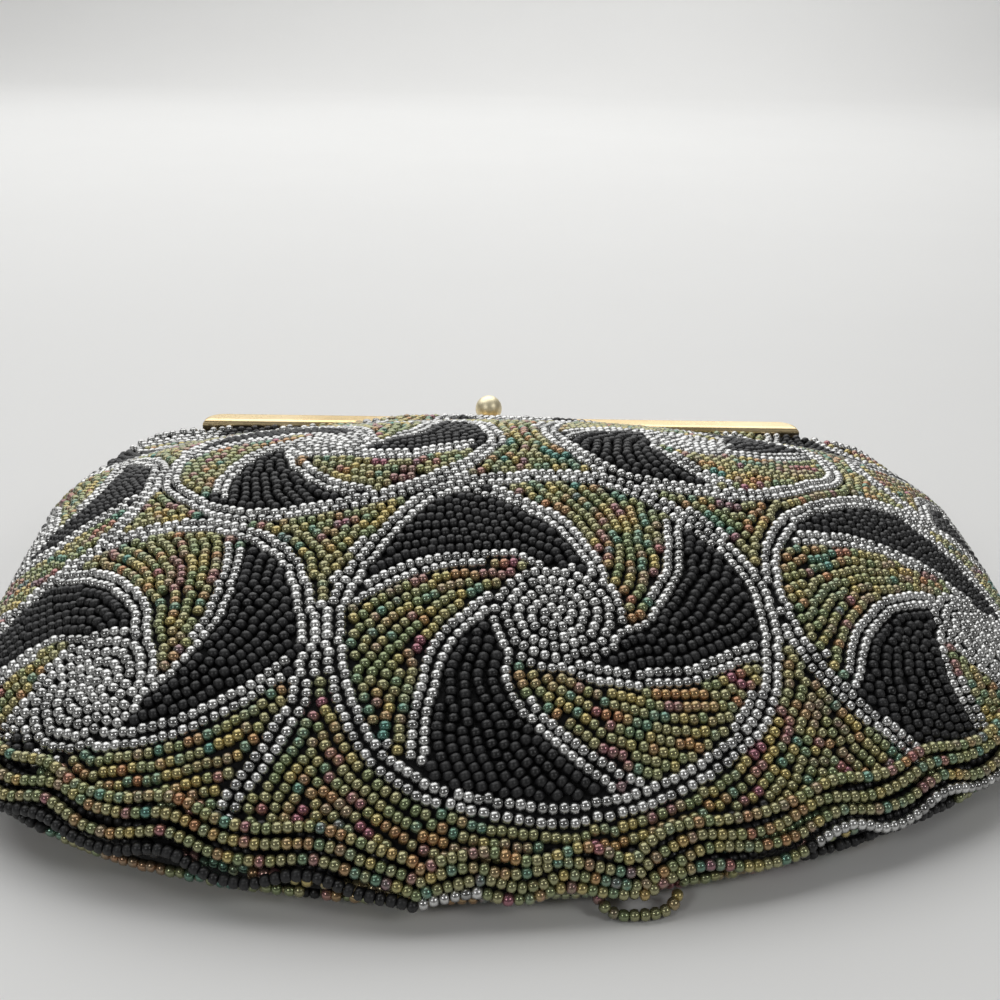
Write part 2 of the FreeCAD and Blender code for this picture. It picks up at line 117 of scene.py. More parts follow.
# The lowest strand's black beads are partly dark beads, partly painted shade beneath the purse; its silver beads
# are partly silver beads, partly painted glints.
UNDERSIDE_MIX = (OLIVE, OLIVE, SILVER, BLACK)
COLOUR_CHANGE, SAME_TINT = 0.16, 0.3
HUE_SHARES = (
    ("khaki", 0.38), ("moss", 0.22), ("straw", 0.15),
    ("teal", 0.09), ("rose", 0.08), ("copper", 0.08))

# Rosettes, the foremost first: flat place across, share of the way up, size in ring radii,
# then how much flatter than a circle, how far turned, size of the hub and number of petals
ROSETTES = (
    (5.3, 0.303, 1.0, 1.05, 0.03),
    (-71.1, 0.283, 1.0, 1.1, 0.09),
    (-36.3, 0.655, 0.88, 1.29, -0.01, 0.8),
    (36.0, 0.682, 0.81, 1.22, -0.6, 0.8, 4),
    (86.0, 0.371, 1.13, 1.22, -0.18),
    (-106.0, 0.64, 0.95, 1.15),
    (108.0, 0.74, 0.9, 1.15),
    (1.0, 0.99, 0.88, 1.2, 0.3),
    (-78.0, 1.0, 0.85, 1.2, 0.2),
    (84.0, 1.05, 0.85, 1.2),
)
RING_REACH, RING_CLEAR, RIM_ROWS = 0.4, 0.5, 1.3
RING_SWAY, RING_SWAYS, RING_WAVER, RING_WAVERS, WOBBLE = 0.7, 3, 0.4, 7, 6
PETAL_SHORT, PETAL_ROUTE, SECOND_EDGE = 1.6, 2.4, 0.25
HUB_LEAN, HUB_ROWS, HUB_LOOKS = 0.12, 0.95, 12
BORDER_UP_TO, SCALLOP, SCALLOP_SLOPE = 0.5, 27.0, 0.2

# How strings are laid, in millimetres or in shares of the spacing between beads
ROUTE_STEP, SLOPE_STEP, CELL = 0.2, 0.6, 2.4
STRING_ROOM, LONE_ROOM = 0.8, 0.7
STRING_MARGIN, BEAD_MARGIN, EDGE_ROOM = 0.9, 0.6, 4.0
LONGEST_STRING, SHORTEST_STRING = 400, 3
START_STEP, GAP_TRIES = 5, 26000
FRONT_SEED, BACK_SEED, STRAND_SEED, BEAD_SEED = 11, 23, 5, 7

# How laid beads settle: rounds, room to each side, first shake, push and its limits
SETTLE_ROUNDS, SETTLE_ROOM, SHAKE = 36, 1.1, 0.12
PUSH, PUSH_MOST, PUSH_NEAREST, SHIFT_MOST = 0.3, 0.6, 0.2, 0.5
SILVER_GIVE, LEAST_AREA = 0.35, 0.05

# Strands along the bottom seam, in millimetres, and the one that hangs in a loop
STRANDS = (6.1, 4.1, 2.2, 0.4)
STRAND_SWAG, STITCH_SHIFT = 1.7, 2.5
STRAND_TOP, STRAND_LIFT, STRAND_LOOK = 60.0, 0.8, 0.4
SWAG_SHORT, SWAG_LONG, SWAG_LEAST, SWAG_ROUND = 15.0, 27.0, 0.6, 1.4
SEAM_STEP, SEAM_FINE, SEAM_POINTS, SEAM_SMOOTH = 0.5, 0.25, 100, 20
STEEP = 0.8
LOOP_X, LOOP_HALF, LOOP_OUT, LOOP_TUCK = 16.8, 6.0, 2.2, 0.6
LOOP_ROUND, LOOP_Z, LOOP_RISE, LOOP_RISE_ROUND, LOOP_POINTS = 0.8, 1.0, 1.7, 4, 200

# One bead, as places along its hole with the radius there, and how beads differ
BEAD_PROFILE = ((-0.5, 0.5), (-0.35, 0.87), (0.0, 1.0), (0.35, 0.87), (0.5, 0.5))
BEAD_SIDES = 10
BEAD_LEAN, BEAD_LIFT = 0.08, 0.05
LENGTH_SPREAD, WIDTH_SPREAD = (0.92, 1.08), (0.93, 1.05)
MAP_LEFT, MAP_WIDE, MAP_LOW, MAP_HIGH = 0.05, 0.9, 0.1, 0.8
MAP_ENDS, MAP_END_MIDDLE, MAP_END_WIDE, MAP_END_HIGH = (0.04, 0.96), 0.5, 0.3, 0.03
# A piece of this many beads stays just under 200,000 triangles
MOST_BEADS = 2050

# Hem tape, as a section in shares of its box, and twisted cord
TAPE_SECTION = (
    (0.0, 0.5), (0.06, 0.1), (0.14, 0.0), (0.86, 0.0), (0.94, 0.1), (1.0, 0.5),
    (0.94, 0.9), (0.86, 1.0), (0.14, 1.0), (0.06, 0.9))
TAPE_RINGS, TAPE_THICK, TAPE_PUFF, TAPE_PUFFS = 261, 0.94, 0.06, 0.9
CORD_RINGS, CORD_SIDES, CORD_TWIST, CORD_PLIES = 521, 18, 1.9, 3
CORD_CORE, CORD_PLY = 0.86, 0.14

# Scales of the fine patterns in the finishes
CLOTH_WEAVE, LINING_RIB, TAPE_RIB = 420.0, 650.0, 500.0
CLOTH_CLOUD, LINING_CREASE, TAPE_CLOUD = 90.0, 28.0, 200.0
GILT_CLOUD, GILT_GRAIN, GILT_SCRATCH = 55.0, 900.0, (30.0, 900.0, 900.0)
BEAD_FILM, FLOOR_CLOUD = 700.0, 6.0
# Inputs and output of a Mix node that is set to colours
MIX_FACTOR, MIX_FIRST, MIX_SECOND, MIX_RESULT = 0, 6, 7, 2

# Floor in millimetres, with a sweep up behind it
FLOOR_NEAR, FLOOR_FAR, FLOOR_HALF, FLOOR_SINK = -2500, 1300, 3000, 0.02
FLOOR_ROWS, SWEEP, SWEEP_ROWS, SWEEP_TOP = 20, 500, 17, 2600

# Lamps: place and target in metres, width and height in metres, power in watts
LAMPS = {
    "key": ((-0.25, 0.75, 1.15), (0.0, 0.0, 0.02), 2.2, 1.7, 20.0),
    "fill": ((0.9, -0.7, 0.9), (0.0, 0.0, 0.02), 0.4, 0.4, 2.6),
    "near": ((-0.7, -0.9, 0.75), (0.0, 0.0, 0.02), 0.3, 0.3, 2.1),
    "backdrop": ((0.0, 0.95, 1.1), (0.0, 1.75, 0.25), 2.4, 0.5, 4.5),
}
WORLD_COLOUR, WORLD_STRENGTH = (1.0, 0.99, 0.97, 1.0), 0.12

# Camera: turns in degrees, place and lens in millimetres
CAMERA_PITCH, CAMERA_ROLL, CAMERA_YAW = 22.74, 1.58, 2.30
CAMERA_PLACE, CAMERA_LENS, CAMERA_SENSOR = (-11.77, -219.67, 130.17), 44.88, 36.0
CAMERA_CLIP = 0.01


def ease(t):
    """From 0 to 1 with soft ends."""
    t = np.clip(t, 0.0, 1.0)
    return t * t * (3 - 2 * t)


def half_width(y):
    """Half the pouch's width at a place along it."""
    low = np.clip((WIDE_LOW_Y - y) / (WIDE_LOW_Y - BOTTOM_Y + BOTTOM_ROUND), 0, 1)
    high = np.clip((y - WIDE_HIGH_Y) / (BAR_Y - WIDE_HIGH_Y), 0, 1)
    round_off = (1 - low ** OUTLINE_LOW) ** (1 / OUTLINE_LOW_ROUND)
    return HALF_WIDTH * round_off - (HALF_WIDTH - MOUTH_HALF) * high ** OUTLINE_HIGH


def sway(x, y):
    """How far the pouch's right side lies further up than its left, fading towards the frame."""
    return SWAY_SLOPE * x * (1 - ease((y - BOTTOM_Y) / (SWAY_END_Y - BOTTOM_Y)))


def seam_height(y):
    """Height of the side seam."""
    return SEAM_LOW + (HINGE_Z - SEAM_LOW) * (y - BOTTOM_Y) / (BAR_Y - BOTTOM_Y)


def mouth_share(y):
    """How far the cloth has taken the shape of the frame's mouth."""
    return np.clip((y - MOUTH_FROM_Y) / (BAR_Y - MOUTH_FROM_Y), 0, 1) ** MOUTH_TURN


def bulge(x, y):
    """Extra fullness before the bar, drawn down again where the cloth enters it."""
    tucked = BULGE_TUCK * ease((y - BAR_Y + BULGE_TUCK_LENGTH) / BULGE_TUCK_LENGTH)
    return BULGE_RISE * (1 - tucked) * np.exp(-((x - BULGE_X) / BULGE_HALF) ** BULGE_SIDE)


def front_rise(u, x, y, inset):
    """Height of the front over the side seam."""
    down = np.clip((BELLY_Y - y) / (BELLY_Y - BOTTOM_Y - inset), 0, 1)
    upward = np.clip((y - BELLY_Y) / (BAR_Y - BELLY_Y), 0, 1)
    low = (BELLY_RISE - inset) * (1 - down ** BELLY_FALL) ** BELLY_ROUND
    high = UPPER_RISE + (BELLY_RISE - UPPER_RISE) * (1 - upward ** UPPER_FALL) - inset
    rounded = (1 - np.abs(u) ** FRONT_SIDE) ** FRONT_SIDE_ROUND
    body = np.where(y < BELLY_Y, low, high) * rounded
    mouth = (MOUTH_RISE - inset) * (1 - np.abs(u) ** MOUTH_SIDE) ** MOUTH_SIDE_ROUND
    if inset < BEAD_LAYERS:
        mouth = mouth + bulge(x, y)
    share = mouth_share(y)
    return body * (1 - share) + mouth * share


def back_rise(u, x, y, inset):
    """Height of the back over the side seam, below zero."""
    depth = seam_height(y) + BACK_DIP - inset
    down = np.clip((BACK_ROUND_Y - y) / (BACK_ROUND_Y - BOTTOM_Y - inset), 0, 1)
    fall = (1 - down ** BACK_FALL) ** BACK_ROUND
    body = depth * fall * (1 - np.abs(u) ** BACK_SIDE) ** BACK_ROUND
    mouth = BACK_DROP - inset
    if inset < BEAD_LAYERS:
        closed = ease((np.abs(x) - SHOULDER_OPEN) / SHOULDER_CLOSE)
        mouth = mouth - closed * (BACK_DROP + MOUTH_RISE - 2 * CLOTH_LAYERS)
    mouth = mouth * (1 - np.abs(u) ** MOUTH_SIDE) ** MOUTH_SIDE_ROUND
    lift = ease((y - BACK_LIFT_Y) / (BAR_Y - BACK_LIFT_Y))
    return -body * (1 - lift) - mouth * lift


def cloth_points(rise, u, low_y, inset, drawn_to=None, ripple=0.0):
    """Points of a cloth layer that lies inset under the pouch's outside, with soft ripples."""
    u, low_y = np.broadcast_arrays(np.asarray(u, float), np.asarray(low_y, float))
    up = (low_y - BOTTOM_Y) / (MOUTH_Y - BOTTOM_Y)
    y = low_y + inset * (1 - up) ** 2
    x = u * (half_width(low_y) - inset)
    z = seam_height(y) + rise(u, x, y, inset)
    if rise is back_rise:
        z = np.maximum(z, inset)
    if drawn_to:
        x = x + (u * (drawn_to - inset) - x) * ease((y - BELLY_Y) / (CREASE_Y - BELLY_Y))
    wave = (np.sin(x / RIPPLE_X + WANDER_X * np.sin(y / WANDER_X_EVERY))
            * np.sin(y / RIPPLE_Y + WANDER_Y * np.sin(x / WANDER_Y_EVERY + 1)))
    z = z + (ripple * wave * (1 - np.abs(u) ** RIPPLE_SIDE)
             * np.clip((MOUTH_Y - y) / RIPPLE_TOP, 0, 1) * np.clip(up * RIPPLE_BOTTOM, 0, 1))
    y = y - SHOULDER_DROP * mouth_share(y) * np.abs(u) ** SHOULDER_CORNER + sway(x, y)
    return np.stack([x, y, z], -1)


def side_to_side(count):
    """Shares of the half width from one side seam to the other, closer near the seams."""
    return np.sin(np.linspace(-0.5, 0.5, count) * math.pi)[None, :]


def distances(route):
    """How far along a route each of its points lies."""
    steps = np.linalg.norm(np.diff(route, axis=0), axis=1)
    return np.concatenate([[0], np.cumsum(steps)])


def points_at(route, travelled, marks):
    """Points of a route at some distances along it."""
    return np.stack([np.interp(marks, travelled, column) for column in route.T], -1)


def even_rows(rise, inset, count=None):
    """Places along the pouch, even along the middle of a cloth layer, by default 1 mm apart."""
    fine = BOTTOM_Y + (MOUTH_Y - BOTTOM_Y) * np.linspace(0, 1, FINE_ROWS) ** 2
    travelled = distances(cloth_points(rise, 0.0, fine, inset))
    if count is None:
        return np.interp(np.arange(int(travelled[-1]) + 1), travelled, fine)
    return np.interp(np.linspace(0, travelled[-1], count), travelled, fine)


def mesh_object(name, points, faces, material):
    """New mesh piece from points in millimetres."""
    mesh = bpy.data.meshes.new(name)
    mesh.from_pydata((np.asarray(points) * MM).tolist(), [], faces)
    mesh.polygons.foreach_set("use_smooth", [True] * len(mesh.polygons))
    mesh.materials.append(material)
    mesh.update()
    piece = bpy.data.objects.new(name, mesh)
    bpy.context.scene.collection.objects.link(piece)
    return piece


def cloth_object(name, rise, depths, count, material, **shape):
    """Closed piece of cloth on one face of the pouch, between two depths under its outside."""
    spaced, *layers = depths
    rows = even_rows(rise, spaced, count)[:, None]
    outer, inner = (
        cloth_points(rise, side_to_side(CLOTH_COLUMNS), rows, depth, **shape) for depth in layers)
    if rise is back_rise:
        outer, inner = inner, outer
    points = np.concatenate([outer.reshape(-1, 3), inner.reshape(-1, 3)])
    columns = CLOTH_COLUMNS
    half = count * columns
    faces = []
    for i in range(count - 1):
        for j in range(columns - 1):
            a = i * columns + j
            quad = (a, a + 1, a + columns + 1, a + columns)
            faces.append(quad)
            faces.append(tuple(half + k for k in reversed(quad)))
    rim = list(range(columns))
    rim += [i * columns + columns - 1 for i in range(1, count)]
    rim += [(count - 1) * columns + j for j in range(columns - 2, -1, -1)]
    rim += [i * columns for i in range(count - 2, 0, -1)]
    for a, b in zip(rim, rim[1:] + rim[:1]):
        faces.append((b, a, half + a, half + b))
    return mesh_object(name, points, faces, material)


def tube_object(name, rings, material):
    """Closed piece through rings of points."""
    count, size = rings.shape[:2]
    faces = []
    for i in range(count - 1):
        for k in range(size):
            n = (k + 1) % size
            faces.append((i * size + k, i * size + n, (i + 1) * size + n, (i + 1) * size + k))
    faces.append(tuple(reversed(range(size))))
    faces.append(tuple((count - 1) * size + k for k in range(size)))
    return mesh_object(name, rings.reshape(-1, 3), faces, material)


class Value:
    """A number in a shader, so that sums and products of values add their own nodes."""

    def __init__(self, finish, socket):
        self.finish = finish
        self.socket = socket

    def _math(self, operation, first, second):
        return self.finish.node("ShaderNodeMath", {"operation": operation}, {0: first, 1: second})

    def __add__(self, other):
        return self._math("ADD", self, other)

    __radd__ = __add__

    def __sub__(self, other):
        return self._math("SUBTRACT", self, other)

    def __rsub__(self, other):
        return self._math("SUBTRACT", other, self)

    def __mul__(self, other):
        return self._math("MULTIPLY", self, other)

    __rmul__ = __mul__

    def fraction(self):
        """What is left over past a whole number."""
        return self.finish.node("ShaderNodeMath", {"operation": "FRACT"}, {0: self})


class Finish:
    """A material and the nodes that make it."""

    def __init__(self, name):
        self.material = bpy.data.materials.new(name)
        self.material.use_nodes = True
        self.tree = self.material.node_tree
        self.surface = self.tree.nodes["Principled BSDF"]

    def node(self, kind, settings=None, sockets=None, output=0):
        """One node: its settings first, then the values or links of its sockets."""
        made = self.tree.nodes.new(kind)
        for key, value in (settings or {}).items():
            if key == "stops":
                ramp = made.color_ramp
                while len(ramp.elements) < len(value):
                    ramp.elements.new(1.0)
                for element, (place, colour) in zip(ramp.elements, value):
                    element.position = place
                    element.color = (*colour, 1.0)
            elif key == "spread":
                made.color_ramp.interpolation = value
            else:
                setattr(made, key, value)
        for key, value in (sockets or {}).items():
            self.feed(made.inputs[key], value)
        return Value(self, made.outputs[output])

    def feed(self, socket, value):
        """Gives a socket a value or a link."""
        if isinstance(value, Value):
            self.tree.links.new(value.socket, socket)
        elif hasattr(value, "__len__") and len(value) == 3 and socket.type == "RGBA":
            socket.default_value = (*value, 1.0)
        else:
            socket.default_value = value

    def place(self):
        """Position on the piece, in metres."""
        return self.node("ShaderNodeTexCoord", output="Object")

    def noise(self, scale, detail=3.0, roughness=0.55, at=None):
        """Cloudy value from 0 to 1."""
        return self.node("ShaderNodeTexNoise", {}, {
            "Vector": at or self.place(), "Scale": scale, "Detail": detail, "Roughness": roughness})

    def wave(self, scale, direction, distortion=0.0):
        """Bands along a direction, from 0 to 1."""
        return self.node("ShaderNodeTexWave", {"bands_direction": direction}, {
            "Vector": self.place(), "Scale": scale, "Distortion": distortion, "Detail": 1.0},
            output="Fac")

    def ramp(self, value, stops, spread="LINEAR"):
        """Colour for a value."""
        return self.node("ShaderNodeValToRGB", {"spread": spread, "stops": stops}, {"Fac": value})

    def attribute(self, name):
        """A number kept on the mesh."""
        return self.node("ShaderNodeAttribute", {"attribute_name": name}, output="Fac")

    def mix(self, factor, first, second):
        """Colour between two colours."""
        return self.node("ShaderNodeMix", {"data_type": "RGBA"}, {
            MIX_FACTOR: factor, MIX_FIRST: first, MIX_SECOND: second}, output=MIX_RESULT)

    def bump(self, height, distance, strength=1.0):
        """Normal from a height."""
        return self.node("ShaderNodeBump", {}, {
            "Height": height, "Distance": distance, "Strength": strength})

    def under(self):
        """Painted shade on a bead: none on its face, all of it beneath, towards the cloth."""
        return 2.6 * self.attribute("sunk") - 1.55

    def set(self, **sockets):
        """Sockets of the surface, by name with _ for spaces."""
        for key, value in sockets.items():
            self.feed(self.surface.inputs[key.replace("_", " ")], value)
        return self.material


def shade(colour, share):
    """A colour made darker or lighter."""
    return tuple(min(1.0, share * c) for c in colour)


def ground_cloth_finish(colour):
    """Black close-woven ground cloth."""
    finish = Finish("ground_cloth")
    weave = finish.wave(CLOTH_WEAVE, "X") * finish.wave(CLOTH_WEAVE, "Y")
    cloud = finish.noise(CLOTH_CLOUD)
    stops = [(0.2, shade(colour, 0.55)), (0.8, shade(colour, 1.5))]
    return finish.set(
        Base_Color=finish.ramp(0.5 * weave + 0.5 * cloud, stops),
        Roughness=0.82 + 0.15 * cloud, Sheen_Weight=0.02, Normal=finish.bump(weave, 0.00012))


def lining_finish(colour):
    """Satin lining with a fine rib and soft creases, painted darker in the crease hollows and lighter on their
    ridges.
    """
    finish = Finish("lining_satin")
    rib = finish.wave(LINING_RIB, "X", 0.6)
    crease = finish.noise(LINING_CREASE, 4.0, 0.6)
    return finish.set(
        # Colour follows the crease height: painted shade in the hollows and painted sheen on the ridges.
        Base_Color=finish.ramp(crease, [(0.3, shade(colour, 0.6)), (0.75, shade(colour, 1.6))]),
        Roughness=0.34 + 0.16 * crease, Sheen_Weight=0.35,
        Normal=finish.bump(0.25 * rib + 2.5 * crease, 0.0004))


def tape_finish(colour):
    """Ribbed hem tape."""
    finish = Finish("hem_tape")
    rib = finish.wave(TAPE_RIB, "X", 0.4)
    cloud = finish.noise(TAPE_CLOUD)
    stops = [(0.1, colour), (0.9, shade(colour, 1.8))]
    return finish.set(
        Base_Color=finish.ramp(0.7 * rib + 0.3 * cloud, stops),
        Roughness=0.8 + 0.1 * cloud, Normal=finish.bump(rib, 0.0001))


def gilt_finish(name, colour, worn, dull):
    """Gilt brass, more or less dull, and rubbed paler in places."""
    finish = Finish(name)
    cloud = finish.noise(GILT_CLOUD, 4.0)
    grain = finish.noise(GILT_GRAIN, 2.0)
    drawn_out = finish.node("ShaderNodeMapping", {}, {
        "Vector": finish.place(), "Scale": GILT_SCRATCH})
    scratch = finish.noise(1.0, 2.0, 0.5, drawn_out)
    rubbed = finish.ramp(cloud, [(0.35, (0.0, 0.0, 0.0)), (0.72, (1.0, 1.0, 1.0))])
    return finish.set(
        Base_Color=finish.mix(rubbed, colour, worn), Metallic=1.0,
        Roughness=dull + 0.14 * cloud + 0.08 * grain,
        Normal=finish.bump(scratch, 0.00002, 0.5))


def silver_bead_finish(colour):
    """Silver-lined grey glass, each bead a little lighter or darker, with painted shade on its underside."""
    finish = Finish("silver_beads")
    tint = finish.attribute("tint")
    stops = [(0.0, shade(colour, 0.58)), (0.45, colour), (1.0, shade(colour, 1.28))]
    return finish.set(
        # Base colour darkened towards each bead's underside: painted shade.
        Base_Color=finish.mix(finish.under(), finish.ramp(tint, stops), shade(colour, 0.12)),
        Metallic=0.92, Roughness=0.18 + 0.14 * tint, Coat_Weight=0.15, Coat_Roughness=0.06)


def black_bead_finish(colour):
    """Opaque black glass with a satin to glossy face."""
    finish = Finish("black_beads")
    tint = finish.attribute("tint")
    return finish.set(
        Base_Color=finish.ramp(tint, [(0.0, colour), (1.0, shade(colour, 2.2))]),
        Roughness=0.36 + 0.2 * tint, Specular_IOR_Level=0.45,
        Coat_Weight=0.14, Coat_Roughness=0.08)


def olive_bead_finish(hues):
    """Iridescent olive glass: each bead has one of a few hues, with a share each, and painted shade on its
    underside.
    """
    finish = Finish("olive_beads")
    tint = finish.attribute("tint")
    stops = []
    place = 0.0
    for colour, share in hues:
        stops.append((place, colour))
        place += share
    hue = finish.ramp(tint, stops, "CONSTANT")
    second = finish.ramp((tint * 37.0).fraction(), stops, "CONSTANT")
    film = finish.noise(BEAD_FILM, 1.0)
    face = finish.mix(0.9 * film - 0.15, hue, second)
    return finish.set(
        # Base colour darkened towards each bead's underside: painted shade.
        Base_Color=finish.mix(finish.under(), face, shade(hues[0][0], 0.1)), Metallic=0.72,
        Roughness=0.17 + 0.14 * film, Coat_Weight=0.3, Coat_Roughness=0.06)


def bead_materials(colours):
    """Bead finishes by colour, made once."""
    names = {SILVER: "silver_beads", BLACK: "black_beads", OLIVE: "olive_beads"}
    if names[SILVER] not in bpy.data.materials:
        silver_bead_finish(tuple(colours.silver))
        black_bead_finish(tuple(colours.black))
        olive_bead_finish([(tuple(getattr(colours, hue)), share) for hue, share in HUE_SHARES])
    return {colour: bpy.data.materials[name] for colour, name in names.items()}


def dot(a, b):
    """Product of two vectors as a number."""
    return a[0] * b[0] + a[1] * b[1] + a[2] * b[2]


def cross(a, b):
    """Vector square to two others."""
    return (a[1] * b[2] - a[2] * b[1], a[2] * b[0] - a[0] * b[2], a[0] * b[1] - a[1] * b[0])


def unit(a):
    """Vector of length 1 in the same direction."""
    size = math.sqrt(dot(a, a)) or 1.0
    return (a[0] / size, a[1] / size, a[2] / size)


class PouchFace:
    """One face of the pouch measured out flat: s across it from the middle, t up from the seam."""

    def __init__(self, rise, inset, ripple):
        self.outward = 1.0 if rise is front_rise else -1.0
        rows = even_rows(rise, inset)
        self.rows = len(rows)
        grid = cloth_points(rise, side_to_side(FACE_COLUMNS), rows[:, None], inset, ripple=ripple)
        steps = np.linalg.norm(np.diff(grid, axis=1), axis=2)
        across = np.concatenate([np.zeros((self.rows, 1)), np.cumsum(steps, axis=1)], axis=1)
        middle = FACE_COLUMNS // 2
        across -= across[:, middle:middle + 1]
        self.reach = int(np.ceil(across[:, -1].max())) + 2
        columns = np.arange(-self.reach, self.reach + 1)
        self.grid = np.empty((self.rows, len(columns), 3))
        for i in range(self.rows):
            self.grid[i] = points_at(grid[i], across[i], columns)
        self.table = self.grid.tolist()
        self.high = across[:, -1].tolist()

    def half(self, t):
        """Half the width across the cloth, and how fast it grows."""
        i = min(max(int(t), 0), self.rows - 2)
        grows = self.high[i + 1] - self.high[i]
        return self.high[i] + (t - i) * grows, grows

    def inside(self, s, t, margin):
        """Whether a place is on the cloth, a margin away from its edges."""
        if not margin <= t <= self.rows - 1 - margin:
            return False
        half, grows = self.half(t)
        return half - abs(s) >= margin * math.hypot(1.0, grows)

    def place(self, s, t):
        """Point of the cloth in space."""
        c = s + self.reach
        i = min(max(int(t), 0), self.rows - 2)
        j = min(max(int(c), 0), 2 * self.reach - 1)
        a, b = t - i, c - j
        low, high = self.table[i], self.table[i + 1]
        p, q, r, w = low[j], low[j + 1], high[j], high[j + 1]
        f, g, h, m = (1 - a) * (1 - b), (1 - a) * b, a * (1 - b), a * b
        return (p[0] * f + q[0] * g + r[0] * h + w[0] * m,
                p[1] * f + q[1] * g + r[1] * h + w[1] * m,
                p[2] * f + q[2] * g + r[2] * h + w[2] * m)

    def places(self, flat):
        """Points of the cloth in space for many places at once."""
        c, t = flat[:, 0] + self.reach, flat[:, 1]
        i = np.clip(t.astype(int), 0, self.rows - 2)
        j = np.clip(c.astype(int), 0, 2 * self.reach - 1)
        a, b = (t - i)[:, None], (c - j)[:, None]
        low = self.grid[i, j] * (1 - b) + self.grid[i, j + 1] * b
        high = self.grid[i + 1, j] * (1 - b) + self.grid[i + 1, j + 1] * b
        return low * (1 - a) + high * a

    def held_in(self, flat, margin):
        """Places kept a margin away from the edges."""
        t = np.clip(flat[:, 1], margin, self.rows - 1 - margin)
        half = np.interp(t, np.arange(self.rows), self.high)
        lean = np.hypot(1.0, np.interp(t, np.arange(self.rows), np.gradient(self.high)))
        room = np.maximum(half - margin * lean, 0.0)
        return np.stack([np.clip(flat[:, 0], -room, room), t], -1)

    def slopes(self, s, t):
        """Steps in space for a step of s and a step of t."""
        step, both = SLOPE_STEP, 2 * SLOPE_STEP
        a, b = self.place(s - step, t), self.place(s + step, t)
        c, d = self.place(s, t - step), self.place(s, t + step)
        return (tuple((q - p) / both for p, q in zip(a, b)),
                tuple((q - p) / both for p, q in zip(c, d)))


class Rosette:
    """Whirl of curling petals round a hub, in a ring that may be flatter than a circle."""

    def __init__(self, settings, s, t, radius, flatter=1.0, turned=0.0, hub=1.0, petals=None):
        self.s, self.t, self.radius, self.flatter = s, t, radius, flatter
        self.hub = hub * settings.hub_width / MM / 2
        self.petals = petals or settings.petals
        self.start = settings.petal_start + turned
        self.curl = settings.curl / math.log(radius / self.hub)

    def polar(self, s, t):
        """Distance and angle of a place from the middle."""
        across, up = s - self.s, (t - self.t) * self.flatter
        return math.hypot(across, up), math.atan2(up, across)

    def spot(self, r, angle):
        """Place at a distance and angle from the middle."""
        return self.s + r * math.cos(angle), self.t + r * math.sin(angle) / self.flatter

    def heading(self, angle):
        """A direction of the round figure, as it lies on the cloth."""
        return math.atan2(math.sin(angle) / self.flatter, math.cos(angle))

    def edge(self, k, r):
        """Angle of a petal's edge at a distance from the middle."""
        return self.start + 2 * math.pi * k / self.petals + self.curl * math.log(r / self.hub)

    def petal(self, r, angle):
        """Which petal a place is in."""
        turn = (angle - self.edge(0, r)) % (2 * math.pi)
        return int(turn / (2 * math.pi) * self.petals) % self.petals

    def stretch(self, angle):
        """How much longer a step straight out is in the round figure than on the cloth."""
        return math.hypot(math.cos(angle), self.flatter * math.sin(angle))


class Bead(NamedTuple):
    """A bead: where it lies, which way its hole and its face point, colour, shade, flat place."""

    place: tuple
    along: tuple
    normal: tuple
    colour: str
    tint: float
    spot: tuple = None


